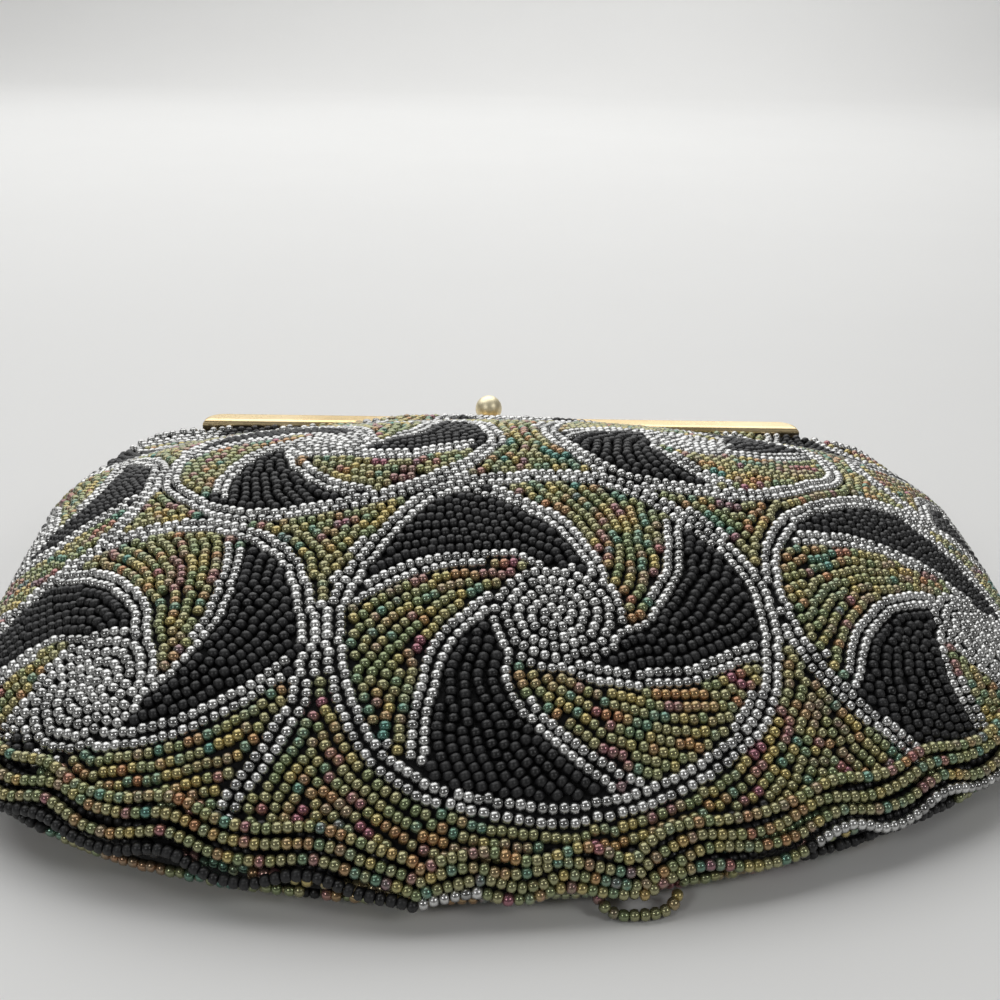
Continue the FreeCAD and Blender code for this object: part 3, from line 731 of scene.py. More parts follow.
class Beadwork:
    """Strings of beads laid over one face of the pouch."""

    def __init__(self, face, settings, seed):
        ring, top = settings.ring_radius / MM, face.rows - 1
        self.face = face
        self.rosettes = [Rosette(settings, s, share * top, size * ring, *shape)
                         for s, share, size, *shape in ROSETTES]
        self.pitch = settings.bead_pitch / MM
        self.row = settings.row_gap / MM
        self.border = settings.border_width / MM
        self.chance = random.Random(seed)
        self.beads = []
        self.cells = {}

    def pattern(self, s, t):
        """Field, colour and string direction at a place."""
        half, grows = self.face.half(t)
        from_side = (half - abs(s)) / math.hypot(1.0, grows)
        if t < BORDER_UP_TO * self.face.rows and min(t, from_side) < self.border:
            if t < from_side:
                lean = SCALLOP_SLOPE * math.cos(2 * math.pi * s / SCALLOP)
                return "border", OLIVE, math.atan(lean)
            return "border", OLIVE, math.atan2(1.0, math.copysign(1.0, s) * grows)
        nearest, direction = None, 0.0
        for n, rosette in enumerate(self.rosettes):
            r, angle = rosette.polar(s, t)
            if r < rosette.radius + RING_REACH * self.row:
                if r < rosette.hub:
                    return (n, "hub"), SILVER, rosette.heading(angle + math.pi / 2 + HUB_LEAN)
                if r > rosette.radius - RIM_ROWS * self.row * rosette.stretch(angle):
                    return (n, "rim"), SILVER, rosette.heading(angle + math.pi / 2)
                k = rosette.petal(r, angle)
                colour = BLACK if k % 2 == 0 else OLIVE
                return (n, k), colour, rosette.heading(angle + math.atan(rosette.curl))
            if nearest is None or r - rosette.radius < nearest:
                nearest = r - rosette.radius
                direction = rosette.heading(angle + math.pi / 2)
        return "between", OLIVE, direction

    def cell(self, place):
        """Small cube of space that a place is in."""
        return tuple(int(math.floor(c / CELL)) for c in place)

    def near(self, place):
        """Beads in the cells round a place."""
        i, j, k = self.cell(place)
        for a in (i - 1, i, i + 1):
            for b in (j - 1, j, j + 1):
                for c in (k - 1, k, k + 1):
                    yield from self.cells.get((a, b, c), ())

    def clear(self, place, along, room):
        """Whether a bead would lie free of the others."""
        short, wide = 1 / self.pitch ** 2, 1 / self.row ** 2
        for bead in self.near(place):
            q = bead.place
            step = (place[0] - q[0], place[1] - q[1], place[2] - q[2])
            far = dot(step, step)
            a, b = dot(step, bead.along), dot(step, along)
            one = a * a * short + (far - a * a) * wide
            two = b * b * short + (far - b * b) * wide
            if one + two < 2 * room * room:
                return False
        return True

    def add(self, *bead):
        """Lays one bead."""
        bead = Bead(*bead)
        self.beads.append(bead)
        self.cells.setdefault(self.cell(bead.place), []).append(bead)

    def stance(self, s, t, direction):
        """Place, direction along the string, normal, flat step and slopes at a place."""
        right, upward = self.face.slopes(s, t)
        c, d = math.cos(direction), math.sin(direction)
        along = tuple(c * p + d * q for p, q in zip(right, upward))
        length = math.sqrt(dot(along, along)) or 1.0
        along = tuple(p / length for p in along)
        normal = unit(tuple(self.face.outward * n for n in cross(right, upward)))
        return self.face.place(s, t), along, normal, (c / length, d / length), (right, upward)

    def tint(self, before):
        """Shade of the next bead, now and then the same as the one before."""
        if before is not None and self.chance.random() < SAME_TINT:
            return before
        return self.chance.random()

    def line(self, route):
        """A silver string along a route of flat places."""
        travelled, wanted, before, tint = 0.0, 0.0, None, None
        for s, t in route:
            if not self.face.inside(s, t, BEAD_MARGIN):
                before = None
                continue
            here = self.face.place(s, t)
            if before is not None:
                step = tuple(p - q for p, q in zip(here, before[0]))
                travelled += math.sqrt(dot(step, step))
                if travelled >= wanted and dot(step, step) > 0:
                    heading = math.atan2(t - before[2], s - before[1])
                    place, along, normal, _, _ = self.stance(s, t, heading)
                    if self.clear(place, along, STRING_ROOM):
                        tint = self.tint(tint)
                        self.add(place, along, normal, SILVER, tint, (s, t))
                        wanted = travelled + self.pitch
            before = (here, s, t)

    def outlines(self):
        """Silver rings, petal edges and hubs."""
        for n, rosette in enumerate(self.rosettes):
            wobble = self.chance.uniform(0, WOBBLE)
            for row in (0.0, 1.0):
                self.line(self.free(n, self.ring(rosette, row, wobble)))
            for k in range(rosette.petals):
                for row in (0.0, 1.0):
                    near = SECOND_EDGE * row if k % 2 else 0.0
                    self.line(self.free(n, self.petal_edge(rosette, k, row, near)))
            self.line(self.free(n, self.spiral(rosette)))

    def ring(self, rosette, row, wobble):
        """Route round a rosette, some rows in from its rim."""
        steps = int(2 * math.pi * rosette.radius / ROUTE_STEP)
        for i in range(steps + 1):
            angle = 2 * math.pi * i / steps
            inward = row * self.row * rosette.stretch(angle)
            uneven = (RING_SWAY * math.sin(RING_SWAYS * angle + wobble)
                      + RING_WAVER * math.sin(RING_WAVERS * angle + 2 * wobble))
            yield rosette.spot(rosette.radius - inward + uneven, angle)

    def petal_edge(self, rosette, k, row, near):
        """Route along a petal's edge to the ring, from the hub or a share of the way out."""
        far = rosette.radius - PETAL_SHORT * self.row * rosette.flatter
        steps = int(PETAL_ROUTE * rosette.radius / ROUTE_STEP)
        for i in range(int(near * steps), steps):
            r = rosette.hub + (far - rosette.hub) * i / steps
            aside = row * self.row / r / math.cos(math.atan(rosette.curl))
            yield rosette.spot(r, rosette.edge(k, r) + aside)

    def spiral(self, rosette):
        """Route round and round from a hub's rim to its middle, close enough where it is steep."""
        middle = self.face.held_in(np.array([[rosette.s, rosette.t]]), EDGE_ROOM)[0]
        right, upward = self.face.slopes(*middle)
        steepest = 0.0
        for k in range(HUB_LOOKS):
            angle = k * math.pi / HUB_LOOKS
            a, b = math.cos(angle), math.sin(angle) / rosette.flatter
            out = tuple(a * p + b * q for p, q in zip(right, upward))
            steepest = max(steepest, math.sqrt(dot(out, out)))
        turns = rosette.hub * steepest / (HUB_ROWS * self.row)
        steps = int(math.pi * rosette.hub * turns / ROUTE_STEP)
        for i in range(steps, -1, -1):
            share = math.sqrt(i / steps)
            yield rosette.spot(rosette.hub * share, rosette.start + 2 * math.pi * turns * share)

    def free(self, n, route):
        """The part of a route that no earlier rosette and no border holds."""
        for spot in route:
            if self.pattern(*spot)[0] == "border":
                continue
            if all(earlier.polar(*spot)[0] >= earlier.radius + RING_CLEAR * self.row
                   for earlier in self.rosettes[:n]):
                yield spot

    def trace(self, s, t, room, shortest):
        """A string through a place, as far as its field and the beads there allow."""
        if not self.face.inside(s, t, STRING_MARGIN):
            return []
        field, colour, direction = self.pattern(s, t)
        place, along, normal, step, slopes = self.stance(s, t, direction)
        if not self.clear(place, along, room):
            return []
        string = [((s, t), place, along, normal, slopes)]
        for way in (1.0, -1.0):
            a, b, heading, ahead = s, t, along, step
            while len(string) < LONGEST_STRING:
                a, b = a + way * ahead[0] * self.pitch, b + way * ahead[1] * self.pitch
                if not self.face.inside(a, b, STRING_MARGIN):
                    break
                other, _, direction = self.pattern(a, b)
                if other != field:
                    break
                place, now, normal, ahead, slopes = self.stance(a, b, direction)
                if dot(now, heading) < 0:
                    now = tuple(-c for c in now)
                    ahead = (-ahead[0], -ahead[1])
                if not self.clear(place, now, room):
                    break
                entry = ((a, b), place, now, normal, slopes)
                string.insert(len(string) if way > 0 else 0, entry)
                heading = now
        if len(string) < shortest:
            return []
        # Black border strings stand partly for dark beads, partly for painted shade under the strands.
        if field == "border":
            colour = self.chance.choice(BORDER_MIX)
        tint = None
        for spot, place, along, normal, _ in string:
            tint = self.tint(tint)
            self.add(place, along, normal, colour, tint, spot)
        return string

    def beside(self, entry):
        """Flat places one row away from a bead, on one side and on the other."""
        (s, t), _, along, normal, (right, upward) = entry
        g, h, m = dot(right, right), dot(right, upward), dot(upward, upward)
        size = (g * m - h * h) or 1.0
        for way in (1.0, -1.0):
            aside = tuple(way * c for c in cross(normal, along))
            p, q = dot(right, aside), dot(upward, aside)
            yield s + self.row * (m * p - h * q) / size, t + self.row * (g * q - h * p) / size

    def fill(self):
        """Strings beside strings until every field is full, then beads in what gaps are left."""
        face = self.face
        starts = []
        for place, along, normal, _, _, spot in self.beads:
            starts += self.beside((spot, place, along, normal, face.slopes(*spot)))
        for t in range(1, face.rows, START_STEP):
            starts += [(s, t) for s in range(-face.reach, face.reach, START_STEP)]
        for start in starts:
            queue = [start]
            for spot in queue:
                for entry in self.trace(*spot, STRING_ROOM, SHORTEST_STRING):
                    queue += self.beside(entry)
        for _ in range(GAP_TRIES):
            s = self.chance.uniform(-face.reach, face.reach)
            t = self.chance.uniform(0, face.rows)
            self.trace(s, t, LONE_ROOM, 1)

    def settle(self):
        """Lets the beads push each other apart until they lie evenly, as strung beads do."""
        flat = np.array([bead.spot for bead in self.beads])
        along = np.array([bead.along for bead in self.beads])
        slopes = np.array([self.face.slopes(*spot) for spot in flat])
        right, upward = np.moveaxis(slopes, 1, 0)
        give = np.array([SILVER_GIVE if bead.colour == SILVER else 1.0 for bead in self.beads])
        order = {id(bead): i for i, bead in enumerate(self.beads)}
        pairs = [(i, order[id(other)])
                 for i, bead in enumerate(self.beads) for other in self.near(bead.place)]
        first, second = np.array([pair for pair in pairs if pair[0] < pair[1]]).T
        g, h, m = (np.sum(a * b, 1)
                   for a, b in ((right, right), (right, upward), (upward, upward)))
        size = np.maximum(g * m - h * h, LEAST_AREA)
        chance = np.random.default_rng(self.chance.randrange(1 << 30))
        flat = flat + chance.normal(0, SHAKE, flat.shape) * give[:, None]
        wide = SETTLE_ROOM * self.row
        for _ in range(SETTLE_ROUNDS):
            place = self.face.places(flat)
            step = place[second] - place[first]
            far = np.sum(step * step, 1)
            a, b = (np.sum(step * along[k], 1) ** 2 for k in (first, second))
            reach = np.sqrt(((a + b) / self.pitch ** 2 + (2 * far - a - b) / wide ** 2) / 2)
            push = PUSH * self.row * np.clip(1 - reach, 0, PUSH_MOST)
            push = (push / np.maximum(np.sqrt(far), PUSH_NEAREST))[:, None] * step
            move = np.zeros(place.shape)
            np.add.at(move, first, -push)
            np.add.at(move, second, push)
            move *= give[:, None]
            p, q = np.sum(move * right, 1), np.sum(move * upward, 1)
            shift = np.stack([(m * p - h * q) / size, (g * q - h * p) / size], -1)
            shift = np.clip(shift, -SHIFT_MOST, SHIFT_MOST)
            flat = self.face.held_in(flat + shift, BEAD_MARGIN)
        self.beads = [bead._replace(place=tuple(place), spot=tuple(spot))
                      for bead, place, spot in zip(self.beads, self.face.places(flat), flat)]

    def work(self):
        """The whole face."""
        self.outlines()
        self.fill()
        self.settle()
        return self.beads


def seam_route(face):
    """Flat places along a face's lower edge, directions away from it, and distances along it."""
    t = np.arange(0, STRAND_TOP, SEAM_STEP)
    half = np.interp(t, np.arange(face.rows), face.high)
    right = np.stack([half, t], -1)
    low = np.stack([np.linspace(-half[0], half[0], SEAM_POINTS), np.zeros(SEAM_POINTS)], -1)
    edge = np.concatenate([right[::-1] * [-1, 1], low[1:-1], right])
    travelled = distances(edge)
    even = np.arange(0, travelled[-1], SEAM_FINE)
    edge = points_at(edge, travelled, even)
    ahead = np.gradient(edge, axis=0)
    window = np.ones(2 * SEAM_SMOOTH + 1) / (2 * SEAM_SMOOTH + 1)
    inward = np.stack([np.convolve(np.pad(side, SEAM_SMOOTH, mode="edge"), window, "valid")
                       for side in (-ahead[:, 1], ahead[:, 0])], -1)
    inward /= np.linalg.norm(inward, axis=1)[:, None]
    return edge, inward, even


def swags(travelled, stitches, chance):
    """Height of a string along its length, 1 where it is stitched and near 0 where it droops."""
    stitches = np.array([place + chance.uniform(-STITCH_SHIFT, STITCH_SHIFT) for place in stitches])
    deep = np.array([chance.uniform(SWAG_LEAST, 1.0) for _ in stitches])
    k = np.clip(np.searchsorted(stitches, travelled, side="right") - 1, 0, len(stitches) - 2)
    share = (travelled - stitches[k]) / (stitches[k + 1] - stitches[k])
    return 1 - deep[k] * (1 - (0.5 + 0.5 * np.cos(2 * math.pi * share)) ** SWAG_ROUND)


def strand(route, pitch, chance, colours):
    """Beads along a route in space, in runs of some colours."""
    travelled = distances(route)
    marks = np.arange(0, travelled[-1], pitch)
    places = points_at(route, travelled, marks)
    ahead = points_at(route, travelled, marks + STRAND_LOOK)
    behind = points_at(route, travelled, marks - STRAND_LOOK)
    beads = []
    colour = chance.choice(colours)
    for place, way in zip(places, ahead - behind):
        if chance.random() < COLOUR_CHANGE:
            colour = chance.choice(colours)
        along = unit(tuple(way))
        normal = (0.0, 0.0, 1.0) if abs(along[2]) < STEEP else (0.0, -1.0, 0.0)
        beads.append(Bead(tuple(place), along, normal, colour, chance.random()))
    return beads


def bead_shape():
    """Points, faces and flat map of one bead, one unit long and one unit in radius along X."""
    bands, sides = len(BEAD_PROFILE) - 1, BEAD_SIDES
    points, faces, spread = [], [], []
    for x, r in BEAD_PROFILE:
        for k in range(sides):
            a = 2 * math.pi * (k + 0.5) / sides
            points.append((x, r * math.cos(a), r * math.sin(a)))
    for i in range(bands):
        a, b = i * sides, (i + 1) * sides
        low, high = MAP_LOW + MAP_HIGH * i / bands, MAP_LOW + MAP_HIGH * (i + 1) / bands
        for k in range(sides):
            n = (k + 1) % sides
            faces.append((a + k, b + k, b + n, a + n))
            left, right = MAP_LEFT + MAP_WIDE * k / sides, MAP_LEFT + MAP_WIDE * (k + 1) / sides
            spread.append([(left, low), (left, high), (right, high), (right, low)])
    faces.append(tuple(range(sides)))
    faces.append(tuple(bands * sides + k for k in reversed(range(sides))))
    for v in MAP_ENDS:
        spread.append([(MAP_END_MIDDLE + MAP_END_WIDE * math.cos(k), v + MAP_END_HIGH * math.sin(k))
                       for k in range(sides)])
    return np.array(points), faces, spread


def bead_object(name, beads, settings, material, seed):
    """One piece of many beads, each with a size, lie and tint of its own."""
    chance = np.random.default_rng(seed)
    shape, faces, spread = bead_shape()
    count, corners = len(beads), len(shape)
    place = np.array([bead.place for bead in beads])
    along = np.array([bead.along for bead in beads])
    normal = np.array([bead.normal for bead in beads])
    along = along + chance.normal(0, BEAD_LEAN, along.shape)
    along /= np.linalg.norm(along, axis=1)[:, None]
    side = np.cross(normal, along)
    side /= np.linalg.norm(side, axis=1)[:, None]
    normal = np.cross(along, side)
    length = settings.bead_length / MM * chance.uniform(*LENGTH_SPREAD, count)
    radius = settings.bead_width / MM / 2 * chance.uniform(*WIDTH_SPREAD, count)
    place = place + normal * chance.normal(0, BEAD_LIFT, count)[:, None]
    place[:, 2] = np.maximum(place[:, 2], radius)
    points = (place[:, None, :]
              + along[:, None, :] * (shape[None, :, 0:1] * length[:, None, None])
              + side[:, None, :] * (shape[None, :, 1:2] * radius[:, None, None])
              + normal[:, None, :] * (shape[None, :, 2:3] * radius[:, None, None])).reshape(-1, 3)
    corner = np.concatenate([np.array(face) for face in faces])
    loops = (corner[None, :] + corners * np.arange(count)[:, None]).ravel()
    totals = np.tile([len(face) for face in faces], count)
    starts = np.concatenate([[0], np.cumsum(totals)[:-1]])
    mesh = bpy.data.meshes.new(name)
    mesh.vertices.add(len(points))
    mesh.vertices.foreach_set("co", (points * MM).astype(np.float32).ravel())
    mesh.loops.add(len(loops))
    mesh.loops.foreach_set("vertex_index", loops.astype(np.int32))
    mesh.polygons.add(len(totals))
    mesh.polygons.foreach_set("loop_start", starts.astype(np.int32))
    mesh.polygons.foreach_set("use_smooth", np.ones(len(totals), bool))
    cells = math.ceil(math.sqrt(count))
    flat = np.concatenate([np.array(outline) for outline in spread])
    origin = np.stack([np.arange(count) % cells, np.arange(count) // cells], -1)
    flat_map = ((origin[:, None, :] + flat[None]) / cells).astype(np.float32)
    mesh.uv_layers.new(name="OFBake").data.foreach_set("uv", flat_map.ravel())
    # The second attribute is the mask for painted shade: 0 on each bead's face, 1 on its underside towards the
    # cloth.
    for label, values in (("tint", np.repeat([bead.tint for bead in beads], corners)),
                          ("sunk", np.tile(0.5 - 0.5 * shape[:, 2], count))):
        layer = mesh.attributes.new(label, "FLOAT", "POINT")
        layer.data.foreach_set("value", values.astype(np.float32))
    mesh.materials.append(material)
    mesh.update(calc_edges=True)
    mesh.validate()
    piece = bpy.data.objects.new(name, mesh)
    bpy.context.scene.collection.objects.link(piece)
    return piece


def bead_pieces(side, beads, context):
    """Pieces of one side's beads, by colour, none too large."""
    settings = context.scene.purse_beads
    materials = bead_materials(context.scene.purse_finish)
    pieces = []
    for colour in (SILVER, BLACK, OLIVE):
        chosen = [bead for bead in beads if bead.colour == colour]
        chosen.sort(key=lambda bead: bead.place[0])
        parts = math.ceil(len(chosen) / MOST_BEADS)
        for k in range(parts):
            share = chosen[len(chosen) * k // parts:len(chosen) * (k + 1) // parts]
            name = "%s_%s_beads_%d" % (side, colour, k + 1)
            pieces.append(bead_object(name, share, settings, materials[colour], BEAD_SEED + k))
    return pieces


def fold(piece):
    """Bakes a front piece's transform into its points; it is not bent."""
    FOLD_START * MM
    HINGE_Z * MM
    FOLD_END * MM
    HINGE_Z * MM
    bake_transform(piece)


def cut_cloth(piece):
    """Looks up what a piece of cloth was cut to before it was gathered into one half of the frame; nothing is
    kept.
    """
    width, length, area = CUTS[piece.name]


def colour_property(name, description, default):
    """A colour that a user may change."""
    return bpy.props.FloatVectorProperty(
        name=name, description=description, default=default,
        subtype="COLOR", size=3, min=0.0, max=1.0)


def length_property(name, description, default):
    """A length in metres that a user may change."""
    return bpy.props.FloatProperty(
        name=name, description=description, default=default, unit="LENGTH", min=0.0)


def angle_property(name, description, degrees):
    """An angle that a user may change."""
    return bpy.props.FloatProperty(
        name=name, description=description, default=math.radians(degrees), subtype="ANGLE")


class PurseBeadSettings(bpy.types.PropertyGroup):
    """Sizes of the beads and of the pattern that they make."""

    bead_width: length_property("Bead width", "Across a bead's hole", 0.00204)
    bead_length: length_property("Bead length", "Along a bead's hole", 0.00156)
    bead_pitch: length_property("Bead spacing", "From bead to bead along a string", 0.00161)
    row_gap: length_property("Row spacing", "From string to string", 0.00213)
    border_width: length_property("Border width", "Rows that follow the seam", 0.0058)
    ring_radius: length_property("Ring radius", "Middle of a rosette to its outer ring", 0.0378)
    hub_width: length_property("Hub width", "Across the silver spiral in a rosette", 0.023)
    petals: bpy.props.IntProperty(
        name="Petals", description="Petals in each rosette", default=6, min=2)
    petal_start: angle_property("Petal start", "Where the first petal leaves the hub", 158)
    curl: angle_property("Curl", "How far a petal turns from hub to ring", 74)


class PurseFinishSettings(bpy.types.PropertyGroup):
    """Colours of the purse."""

    silver: colour_property("Silver beads", "Silver-lined grey glass", (0.53, 0.53, 0.52))
    black: colour_property("Black beads", "Opaque black glass", (0.005, 0.005, 0.0055))
    khaki: colour_property("Khaki beads", "Commonest iridescent hue", (0.335, 0.322, 0.175))
    moss: colour_property("Moss beads", "Green olive hue", (0.225, 0.268, 0.14))
    straw: colour_property("Straw beads", "Golden hue", (0.46, 0.375, 0.15))
    teal: colour_property("Teal beads", "Blue green hue", (0.11, 0.24, 0.20))
    rose: colour_property("Rose beads", "Pink hue", (0.32, 0.14, 0.17))
    copper: colour_property("Copper beads", "Orange hue", (0.40, 0.21, 0.11))
    cloth: colour_property("Ground cloth", "Cloth under the beads", (0.004, 0.004, 0.0045))
    lining: colour_property("Lining", "Satin inside the pouch", (0.030, 0.029, 0.032))
    tape: colour_property("Hem tape", "Tape and cord in the frame", (0.020, 0.020, 0.021))
    gilt: colour_property("Gilt", "Metal of the frame, lock and chain", (0.84, 0.63, 0.32))
    worn: colour_property("Rubbed gilt", "Where the gilt is rubbed paler", (0.90, 0.73, 0.45))
    rubbed: colour_property("Handled gilt", "Balls of the lock, rubbed", (0.98, 0.88, 0.62))
    floor: colour_property("Floor", "Plain floor under the purse", (0.78, 0.78, 0.77))


class PURSE_OT_ground_cloth(bpy.types.Operator):
    """Ground cloth of the front and the back, which the beads are strung over"""

    bl_idname = "purse.ground_cloth"
    bl_label = "Ground Cloth"

    def execute(self, context):
        material = ground_cloth_finish(tuple(context.scene.purse_finish.cloth))
        for name, rise in (("front_cloth", front_rise), ("back_cloth", back_rise)):
            piece = cloth_object(name, rise, CLOTH_DEPTHS, CLOTH_ROWS, material, ripple=RIPPLE)
            if rise is front_rise:
                fold(piece)
                cut_cloth(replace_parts(piece, "front_panel", "front_panel_mouth"))
            else:
                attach(piece, "pouch")
                cut_cloth(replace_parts(piece, "back_panel"))
        return {"FINISHED"}


class PURSE_OT_lining(bpy.types.Operator):
    """Satin lining of the front and the back"""

    bl_idname = "purse.lining"
    bl_label = "Lining"

    def execute(self, context):
        material = lining_finish(tuple(context.scene.purse_finish.lining))
        for name, rise in (("front_satin", front_rise), ("back_satin", back_rise)):
            piece = cloth_object(name, rise, LINING_DEPTHS, LINING_ROWS, material,
                                 drawn_to=LINING_HALF, ripple=LINING_RIPPLE)
            if rise is front_rise:
                fold(piece)
                cut_cloth(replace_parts(piece, "front_lining", "front_lining_mouth"))
            else:
                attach(piece, "pouch")
                cut_cloth(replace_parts(piece, "back_lining"))
        return {"FINISHED"}


class PURSE_OT_hem(bpy.types.Operator):
    """Hem tape and twisted cord crimped in each half of the frame"""

    bl_idname = "purse.hem"
    bl_label = "Hem"

    def execute(self, context):
        material = tape_finish(tuple(context.scene.purse_finish.tape))
        for side, body in (("back", "pouch"), ("front", "front_half")):
            for piece in (self.tape(side, material), self.cord(side, material)):
                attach(piece, body)
        return {"FINISHED"}

    def tape(self, side, material):
        """Gathered tape along one half of the frame."""
        low, high = (np.array(c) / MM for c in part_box(side + "_hem_tape"))
        wide, thick = high[1] - low[1], high[2] - low[2]
        rings = []
        for k, x in enumerate(np.linspace(low[0], high[0], TAPE_RINGS)):
            puffed = TAPE_THICK + TAPE_PUFF * math.sin(k * TAPE_PUFFS)
            rings.append([(x, low[1] + wide * a, low[2] + thick * (0.5 + (b - 0.5) * puffed))
                          for a, b in TAPE_SECTION])
        piece = tube_object(side + "_tape", np.array(rings), material)
        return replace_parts(piece, side + "_hem_tape")

    def cord(self, side, material):
        """Twisted cord beside the tape."""
        low, high = (np.array(c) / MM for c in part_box(side + "_crimp_cord"))
        middle, radius = (low + high) / 2, (high[1] - low[1]) / 2
        rings = []
        for x in np.linspace(low[0], high[0], CORD_RINGS):
            ring = []
            for k in range(CORD_SIDES):
                a = 2 * math.pi * k / CORD_SIDES
                ply = abs(math.cos(CORD_PLIES / 2 * (a - x * CORD_TWIST)))
                r = radius * (CORD_CORE + CORD_PLY * ply)
                ring.append((x, middle[1] + r * math.cos(a), middle[2] + r * math.sin(a)))
            rings.append(ring)
        piece = tube_object(side + "_cord", np.array(rings), material)
        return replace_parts(piece, side + "_crimp_cord")


class PURSE_OT_front_beads(bpy.types.Operator):
    """Strings of beads on the front, in rosettes, fields and a border"""

    bl_idname = "purse.front_beads"
    bl_label = "Front Beads"

    def execute(self, context):
        face = PouchFace(front_rise, BEAD_INSET, RIPPLE)
        work = Beadwork(face, context.scene.purse_beads, FRONT_SEED)
        for piece in bead_pieces("front", work.work(), context):
            fold(piece)
        return {"FINISHED"}


class PURSE_OT_back_beads(bpy.types.Operator):
    """Strings of beads on the back, in the same pattern"""

    bl_idname = "purse.back_beads"
    bl_label = "Back Beads"

    def execute(self, context):
        face = PouchFace(back_rise, BEAD_INSET, 0.0)
        work = Beadwork(face, context.scene.purse_beads, BACK_SEED)
        for piece in bead_pieces("back", work.work(), context):
            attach(piece, "pouch")
        return {"FINISHED"}


class PURSE_OT_edge_strands(bpy.types.Operator):
    """Scalloped strands of beads along the bottom seam, one of them hanging in a loop"""

    bl_idname = "purse.edge_strands"
    bl_label = "Edge Strands"

    def execute(self, context):
        pitch = context.scene.purse_beads.bead_pitch / MM
        chance = random.Random(STRAND_SEED)
        face = PouchFace(front_rise, -STRAND_LIFT, RIPPLE)
        edge, inward, travelled = seam_route(face)
        beads = []
        stitches = [-SWAG_LONG]
        while stitches[-1] <= travelled[-1]:
            stitches.append(stitches[-1] + chance.uniform(SWAG_SHORT, SWAG_LONG))
        for low in STRANDS:
            height = low + STRAND_SWAG * swags(travelled, stitches, chance)
            # The lowest strand takes the underside mix: black beads partly as painted shade, silver beads partly
            # as painted glints.
            colours = UNDERSIDE_MIX if low == STRANDS[-1] else (OLIVE,)
            beads += strand(face.places(edge + inward * height[:, None]), pitch, chance, colours)
        beads += strand(self.loop(), pitch, chance, (OLIVE,))
        for piece in bead_pieces("edge", beads, context):
            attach(piece, "pouch")
        return {"FINISHED"}

    def loop(self):
        """Route of the strand that has come loose and lies on the floor before the seam."""
        turn = np.linspace(0, math.pi, LOOP_POINTS)
        x = LOOP_X - LOOP_HALF * np.cos(turn)
        y = BOTTOM_Y + SWAY_SLOPE * x + LOOP_TUCK - LOOP_OUT * np.sin(turn) ** LOOP_ROUND
        return np.stack([x, y, LOOP_Z + LOOP_RISE * np.cos(turn) ** LOOP_RISE_ROUND], -1)


class PURSE_OT_gilt_metal(bpy.types.Operator):
    """Gilt finish on the frame, hinges, lock and chain"""

    bl_idname = "purse.gilt_metal"
    bl_label = "Gilt Metal"

    def execute(self, context):
        colours = context.scene.purse_finish
        rubbed = tuple(colours.rubbed)
        gilt = gilt_finish("gilt_metal", tuple(colours.gilt), tuple(colours.worn), 0.16)
        handled = gilt_finish("handled_gilt", shade(rubbed, 0.95), rubbed, 0.36)
        slots = {part["node"]: part["material_slot"] for part in frame["record"]["subparts"]}
        for name, node in frame["nodes"].items():
            if slots[name] == "gold_metal":
                node.data.materials.clear()
                node.data.materials.append(handled if name.endswith("lock_ball") else gilt)
        return {"FINISHED"}


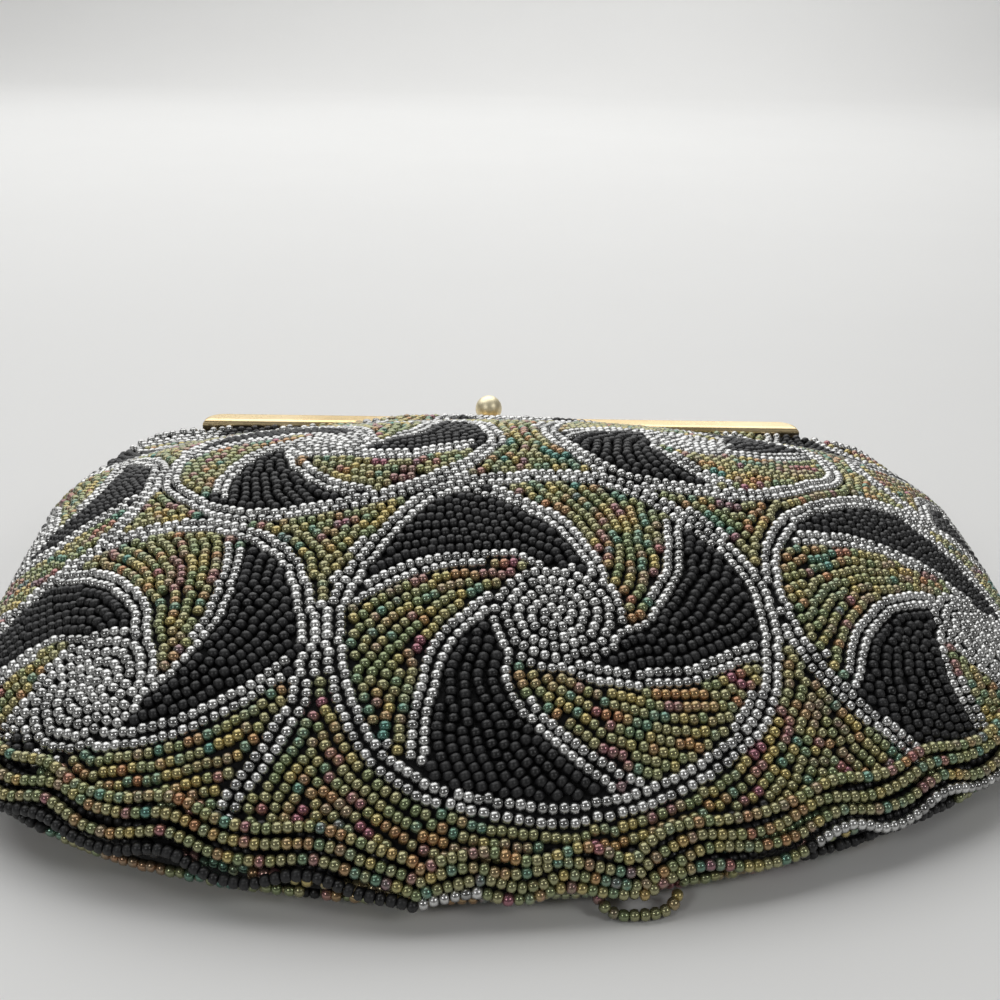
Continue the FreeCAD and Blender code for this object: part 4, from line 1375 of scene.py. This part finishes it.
class PURSE_OT_stage(bpy.types.Operator):
    """Pale floor, soft light and the camera"""

    bl_idname = "purse.stage"
    bl_label = "Stage"

    def execute(self, context):
        self.floor(tuple(context.scene.purse_finish.floor))
        self.light(context.scene)
        self.camera(context.scene)
        context.scene.view_settings.view_transform = "Standard"
        return {"FINISHED"}

    def floor(self, colour):
        """Plain floor that sweeps up far behind the purse."""
        finish = Finish("floor")
        cloud = finish.noise(FLOOR_CLOUD)
        material = finish.set(
            Base_Color=finish.mix(cloud, colour, shade(colour, 1.04)), Roughness=0.55)
        rows = [(y, 0.0) for y in np.linspace(FLOOR_NEAR, FLOOR_FAR, FLOOR_ROWS)]
        for a in np.linspace(0, math.pi / 2, SWEEP_ROWS)[1:]:
            rows.append((FLOOR_FAR + SWEEP * math.sin(a), SWEEP * (1 - math.cos(a))))
        rows.append((FLOOR_FAR + SWEEP, SWEEP_TOP))
        points = [(x, y, z - FLOOR_SINK) for y, z in rows for x in (-FLOOR_HALF, FLOOR_HALF)]
        faces = [(2 * i, 2 * i + 1, 2 * i + 3, 2 * i + 2) for i in range(len(rows) - 1)]
        mesh_object("floor", points, faces, material)

    def light(self, scene):
        """Even light from all round and the lamps."""
        world = bpy.data.worlds.new("studio")
        world.use_nodes = True
        background = world.node_tree.nodes["Background"]
        background.inputs["Color"].default_value = WORLD_COLOUR
        background.inputs["Strength"].default_value = WORLD_STRENGTH
        scene.world = world
        for name, (place, target, width, height, power) in LAMPS.items():
            light = bpy.data.lights.new(name, "AREA")
            light.shape = "RECTANGLE"
            light.size, light.size_y = width, height
            light.energy = power
            lamp = bpy.data.objects.new(name, light)
            lamp.location = place
            towards = Vector(target) - Vector(place)
            lamp.rotation_euler = towards.to_track_quat("-Z", "Y").to_euler()
            scene.collection.objects.link(lamp)

    def camera(self, scene):
        """Camera that looks down on the purse from before the bottom seam."""
        pitch, roll, yaw = (math.radians(a) for a in (CAMERA_PITCH, CAMERA_ROLL, CAMERA_YAW))
        level = Vector((math.sin(yaw), math.cos(yaw), 0.0))
        right = Vector((math.cos(yaw), -math.sin(yaw), 0.0))
        ahead = math.cos(pitch) * level - math.sin(pitch) * Vector((0, 0, 1))
        above = math.sin(pitch) * level + math.cos(pitch) * Vector((0, 0, 1))
        across = math.cos(roll) * right + math.sin(roll) * above
        upward = -math.sin(roll) * right + math.cos(roll) * above
        turn = Matrix((across, upward, -ahead)).transposed().to_4x4()
        lens = bpy.data.cameras.new("camera")
        lens.sensor_width = CAMERA_SENSOR
        lens.lens = CAMERA_LENS
        lens.clip_start = CAMERA_CLIP
        camera = bpy.data.objects.new("camera", lens)
        camera.matrix_world = Matrix.Translation(Vector(CAMERA_PLACE) * MM) @ turn
        scene.collection.objects.link(camera)
        bpy.context.scene.camera = camera


class PURSE_PT_panel(bpy.types.Panel):
    """Pieces and settings of the purse"""

    bl_idname = "PURSE_PT_panel"
    bl_label = "Beaded Purse"
    bl_space_type = "VIEW_3D"
    bl_region_type = "UI"
    bl_category = "Purse"

    def draw(self, context):
        for operator in OPERATORS:
            self.layout.operator(operator.bl_idname)
        for group in (context.scene.purse_beads, context.scene.purse_finish):
            for name in group.__annotations__:
                self.layout.prop(group, name)


OPERATORS = (
    PURSE_OT_ground_cloth, PURSE_OT_lining, PURSE_OT_hem, PURSE_OT_front_beads,
    PURSE_OT_back_beads, PURSE_OT_edge_strands, PURSE_OT_gilt_metal, PURSE_OT_stage)
CLASSES = (PurseBeadSettings, PurseFinishSettings, *OPERATORS, PURSE_PT_panel)


def register():
    for cls in CLASSES:
        bpy.utils.register_class(cls)
    bpy.types.Scene.purse_beads = bpy.props.PointerProperty(type=PurseBeadSettings)
    bpy.types.Scene.purse_finish = bpy.props.PointerProperty(type=PurseFinishSettings)


def unregister():
    del bpy.types.Scene.purse_finish
    del bpy.types.Scene.purse_beads
    for cls in reversed(CLASSES):
        bpy.utils.unregister_class(cls)


def main():
    register()
    bpy.ops.purse.ground_cloth()
    bpy.ops.purse.lining()
    bpy.ops.purse.hem()
    bpy.ops.purse.front_beads()
    bpy.ops.purse.back_beads()
    bpy.ops.purse.edge_strands()
    bpy.ops.purse.gilt_metal()
    bpy.ops.purse.stage()


if __name__ == "__main__":
    main()
